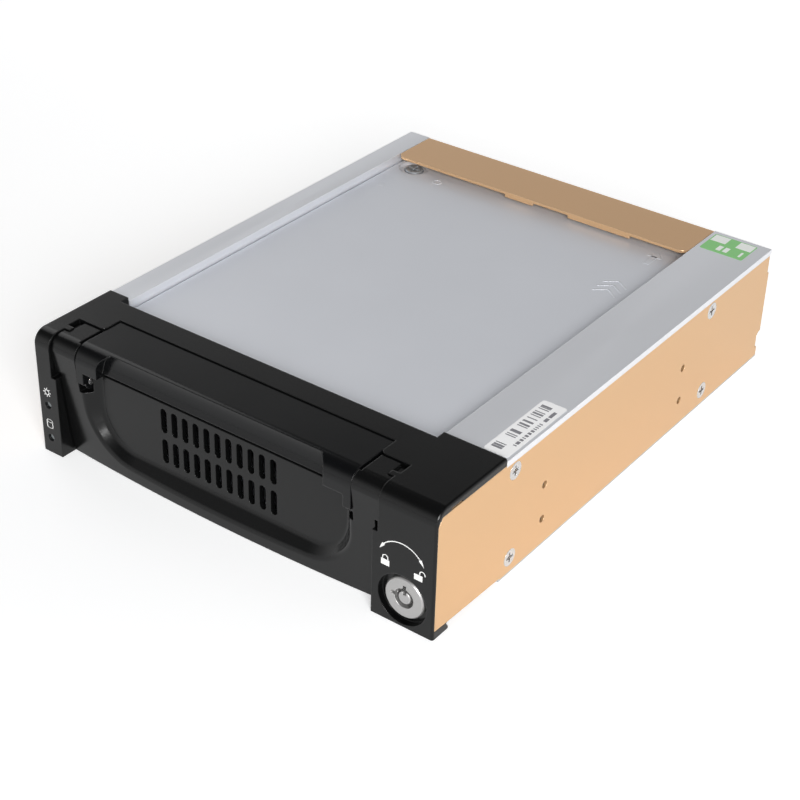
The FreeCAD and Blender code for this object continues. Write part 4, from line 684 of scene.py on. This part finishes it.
def boardParts():
    bm = bmesh.new()
    for across, up, wide, tall in boardChips:
        centre = (boardLow.x + across * mm, boardLow.y - chipLook["deep"] / 2 + chipLook["sunk"],
                  boardLow.z + up * mm)
        chip(bm, centre, (wide * mm, chipLook["deep"], tall * mm), chipLook["bevel"])
    width, depth, height = (value * mm for value in smallParts["size"])
    for number in range(smallParts["count"]):
        along = smallParts["first"] + number * smallParts["pitch"]
        if all(abs(along - across) > wide * smallParts["clear"]
               for across, up, wide, tall in boardChips if up > smallParts["upperRow"]):
            centre = (boardLow.x + along * mm, boardLow.y - depth / 2 + smallParts["sunk"],
                      boardLow.z + smallParts["up"] * mm)
            chip(bm, centre, (width, depth, height), smallParts["bevel"])
    newPiece("board_parts", bm, "frame", "chipBlack")


boardParts()

hubLabel = {"radius": 6.4 * mm, "thickness": 0.12 * mm, "proud": 0.05 * mm, "segments": 48}


def hubSticker():
    # plain round sticker on the fan's hub, seen through the guard
    bm = bmesh.new()
    disc(bm, (0, 0), hubLabel["radius"], hubLabel["segments"])
    thicken(bm, hubLabel["thickness"])
    bmesh.ops.rotate(bm, verts=bm.verts, cent=(0, 0, 0), matrix=quarterTurn)
    bmesh.ops.translate(bm, verts=bm.verts,
                        vec=(fanCentre.x, fanHigh.y + hubLabel["proud"], fanCentre.z))
    newPiece("fan_label", bm, "frame", "screwSteel")


def catchCoil():
    # the catch's spring stands on its bracket; a copy of it rides with the cover in place of the
    # original
    coil = bpy.data.objects.new("catch_coil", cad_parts["catch_spring"].data.copy())
    scene.collection.objects.link(coil)
    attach(coil, "cover")
    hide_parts("catch_spring")
    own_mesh(coil)


hubSticker()
catchCoil()
print("boards, fan and catch detailed")


# stage, light and camera

stageLook = {"size": 6.0, "white": (0.70, 0.705, 0.71), "roughness": 0.7, "specular": 0.2,
             "front": -0.15, "back": 0.30, "glowFront": 0.44, "glowBack": 0.66}


fullWhite = (1.0, 1.0, 1.0, 1.0)


def stagePlane():
    # white floor that glows a little, more so towards the back
    bm = bmesh.new()
    bmesh.ops.create_grid(bm, x_segments=1, y_segments=1, size=stageLook["size"] / 2)
    mesh = bpy.data.meshes.new("floor")
    bm.to_mesh(mesh)
    bm.free()
    material, nodes, links, shader = newMaterial("floorPale")
    shader.inputs["Base Color"].default_value = (*stageLook["white"], 1.0)
    shader.inputs["Roughness"].default_value = stageLook["roughness"]
    shader.inputs["Specular IOR Level"].default_value = stageLook["specular"]
    path = nodes.new("ShaderNodeLightPath")
    seen = mathNode(nodes, links, "MAXIMUM", path.outputs["Is Camera Ray"],
                    path.outputs["Is Glossy Ray"])
    seen = mathNode(nodes, links, "MAXIMUM", seen, path.outputs["Is Transmission Ray"])
    place = nodes.new("ShaderNodeSeparateXYZ")
    links.new(nodes.new("ShaderNodeTexCoord").outputs["Object"], place.inputs[0])
    level = nodes.new("ShaderNodeMapRange")
    level.inputs["From Min"].default_value = stageLook["front"]
    level.inputs["From Max"].default_value = stageLook["back"]
    level.inputs["To Min"].default_value = stageLook["glowFront"]
    level.inputs["To Max"].default_value = stageLook["glowBack"]
    links.new(place.outputs["Y"], level.inputs["Value"])
    glow = mathNode(nodes, links, "MULTIPLY", seen, level.outputs[0])
    shader.inputs["Emission Color"].default_value = fullWhite
    links.new(glow, shader.inputs["Emission Strength"])
    mesh.materials.append(material)
    plane = bpy.data.objects.new("floor", mesh)
    scene.collection.objects.link(plane)


skyLook = {"horizon": 1.0, "zenith": 0.05, "bright": 0.20, "dim": 0.74}


def studioWorld():
    # a room with white walls and a dark ceiling
    world = bpy.data.worlds.new("studio")
    scene.world = world
    world.use_nodes = True
    nodes, links = world.node_tree.nodes, world.node_tree.links
    background = nodes["Background"]
    background.inputs["Color"].default_value = fullWhite
    heading = nodes.new("ShaderNodeSeparateXYZ")
    links.new(nodes.new("ShaderNodeTexCoord").outputs["Generated"], heading.inputs[0])
    level = nodes.new("ShaderNodeMapRange")
    level.interpolation_type = "SMOOTHSTEP"
    level.inputs["From Min"].default_value = skyLook["bright"]
    level.inputs["From Max"].default_value = skyLook["dim"]
    level.inputs["To Min"].default_value = skyLook["horizon"]
    level.inputs["To Max"].default_value = skyLook["zenith"]
    links.new(heading.outputs["Z"], level.inputs["Value"])
    links.new(level.outputs[0], background.inputs["Strength"])


lamps = {
    "keyBox": {"place": (0.66, -0.70, 0.50), "aim": (0.0, -0.02, 0.02), "size": 0.45,
               "power": 11.2},
    "fillBox": {"place": (-0.95, 0.30, 0.80), "aim": (0.0, 0.0, 0.02), "size": 0.6,
                "power": 1.7},
}


def addLamp(name, lamp):
    light = bpy.data.lights.new(name, "AREA")
    light.size = lamp["size"]
    light.energy = lamp["power"]
    holder = bpy.data.objects.new(name, light)
    scene.collection.objects.link(holder)
    place = Vector(lamp["place"])
    holder.location = place
    holder.rotation_euler = (Vector(lamp["aim"]) - place).to_track_quat("-Z", "Y").to_euler()


cameraLook = {"place": (0.27356, -0.38951, 0.30433), "turn": (57.482, -1.634, 36.167),
              "lens": 79.0, "sensor": 36.0, "near": 0.01, "shift": (-0.0218, -0.0041)}


def addCamera():
    lens = bpy.data.cameras.new("camera")
    lens.lens = cameraLook["lens"]
    lens.sensor_width = cameraLook["sensor"]
    lens.shift_x, lens.shift_y = cameraLook["shift"]
    lens.clip_start = cameraLook["near"]
    holder = bpy.data.objects.new("camera", lens)
    scene.collection.objects.link(holder)
    holder.location = cameraLook["place"]
    holder.rotation_euler = [math.radians(angle) for angle in cameraLook["turn"]]
    scene.camera = holder


stagePlane()
studioWorld()
for lampName, lamp in lamps.items():
    addLamp(lampName, lamp)
addCamera()
scene.view_settings.view_transform = "Standard"
print("stage, lights and camera set")
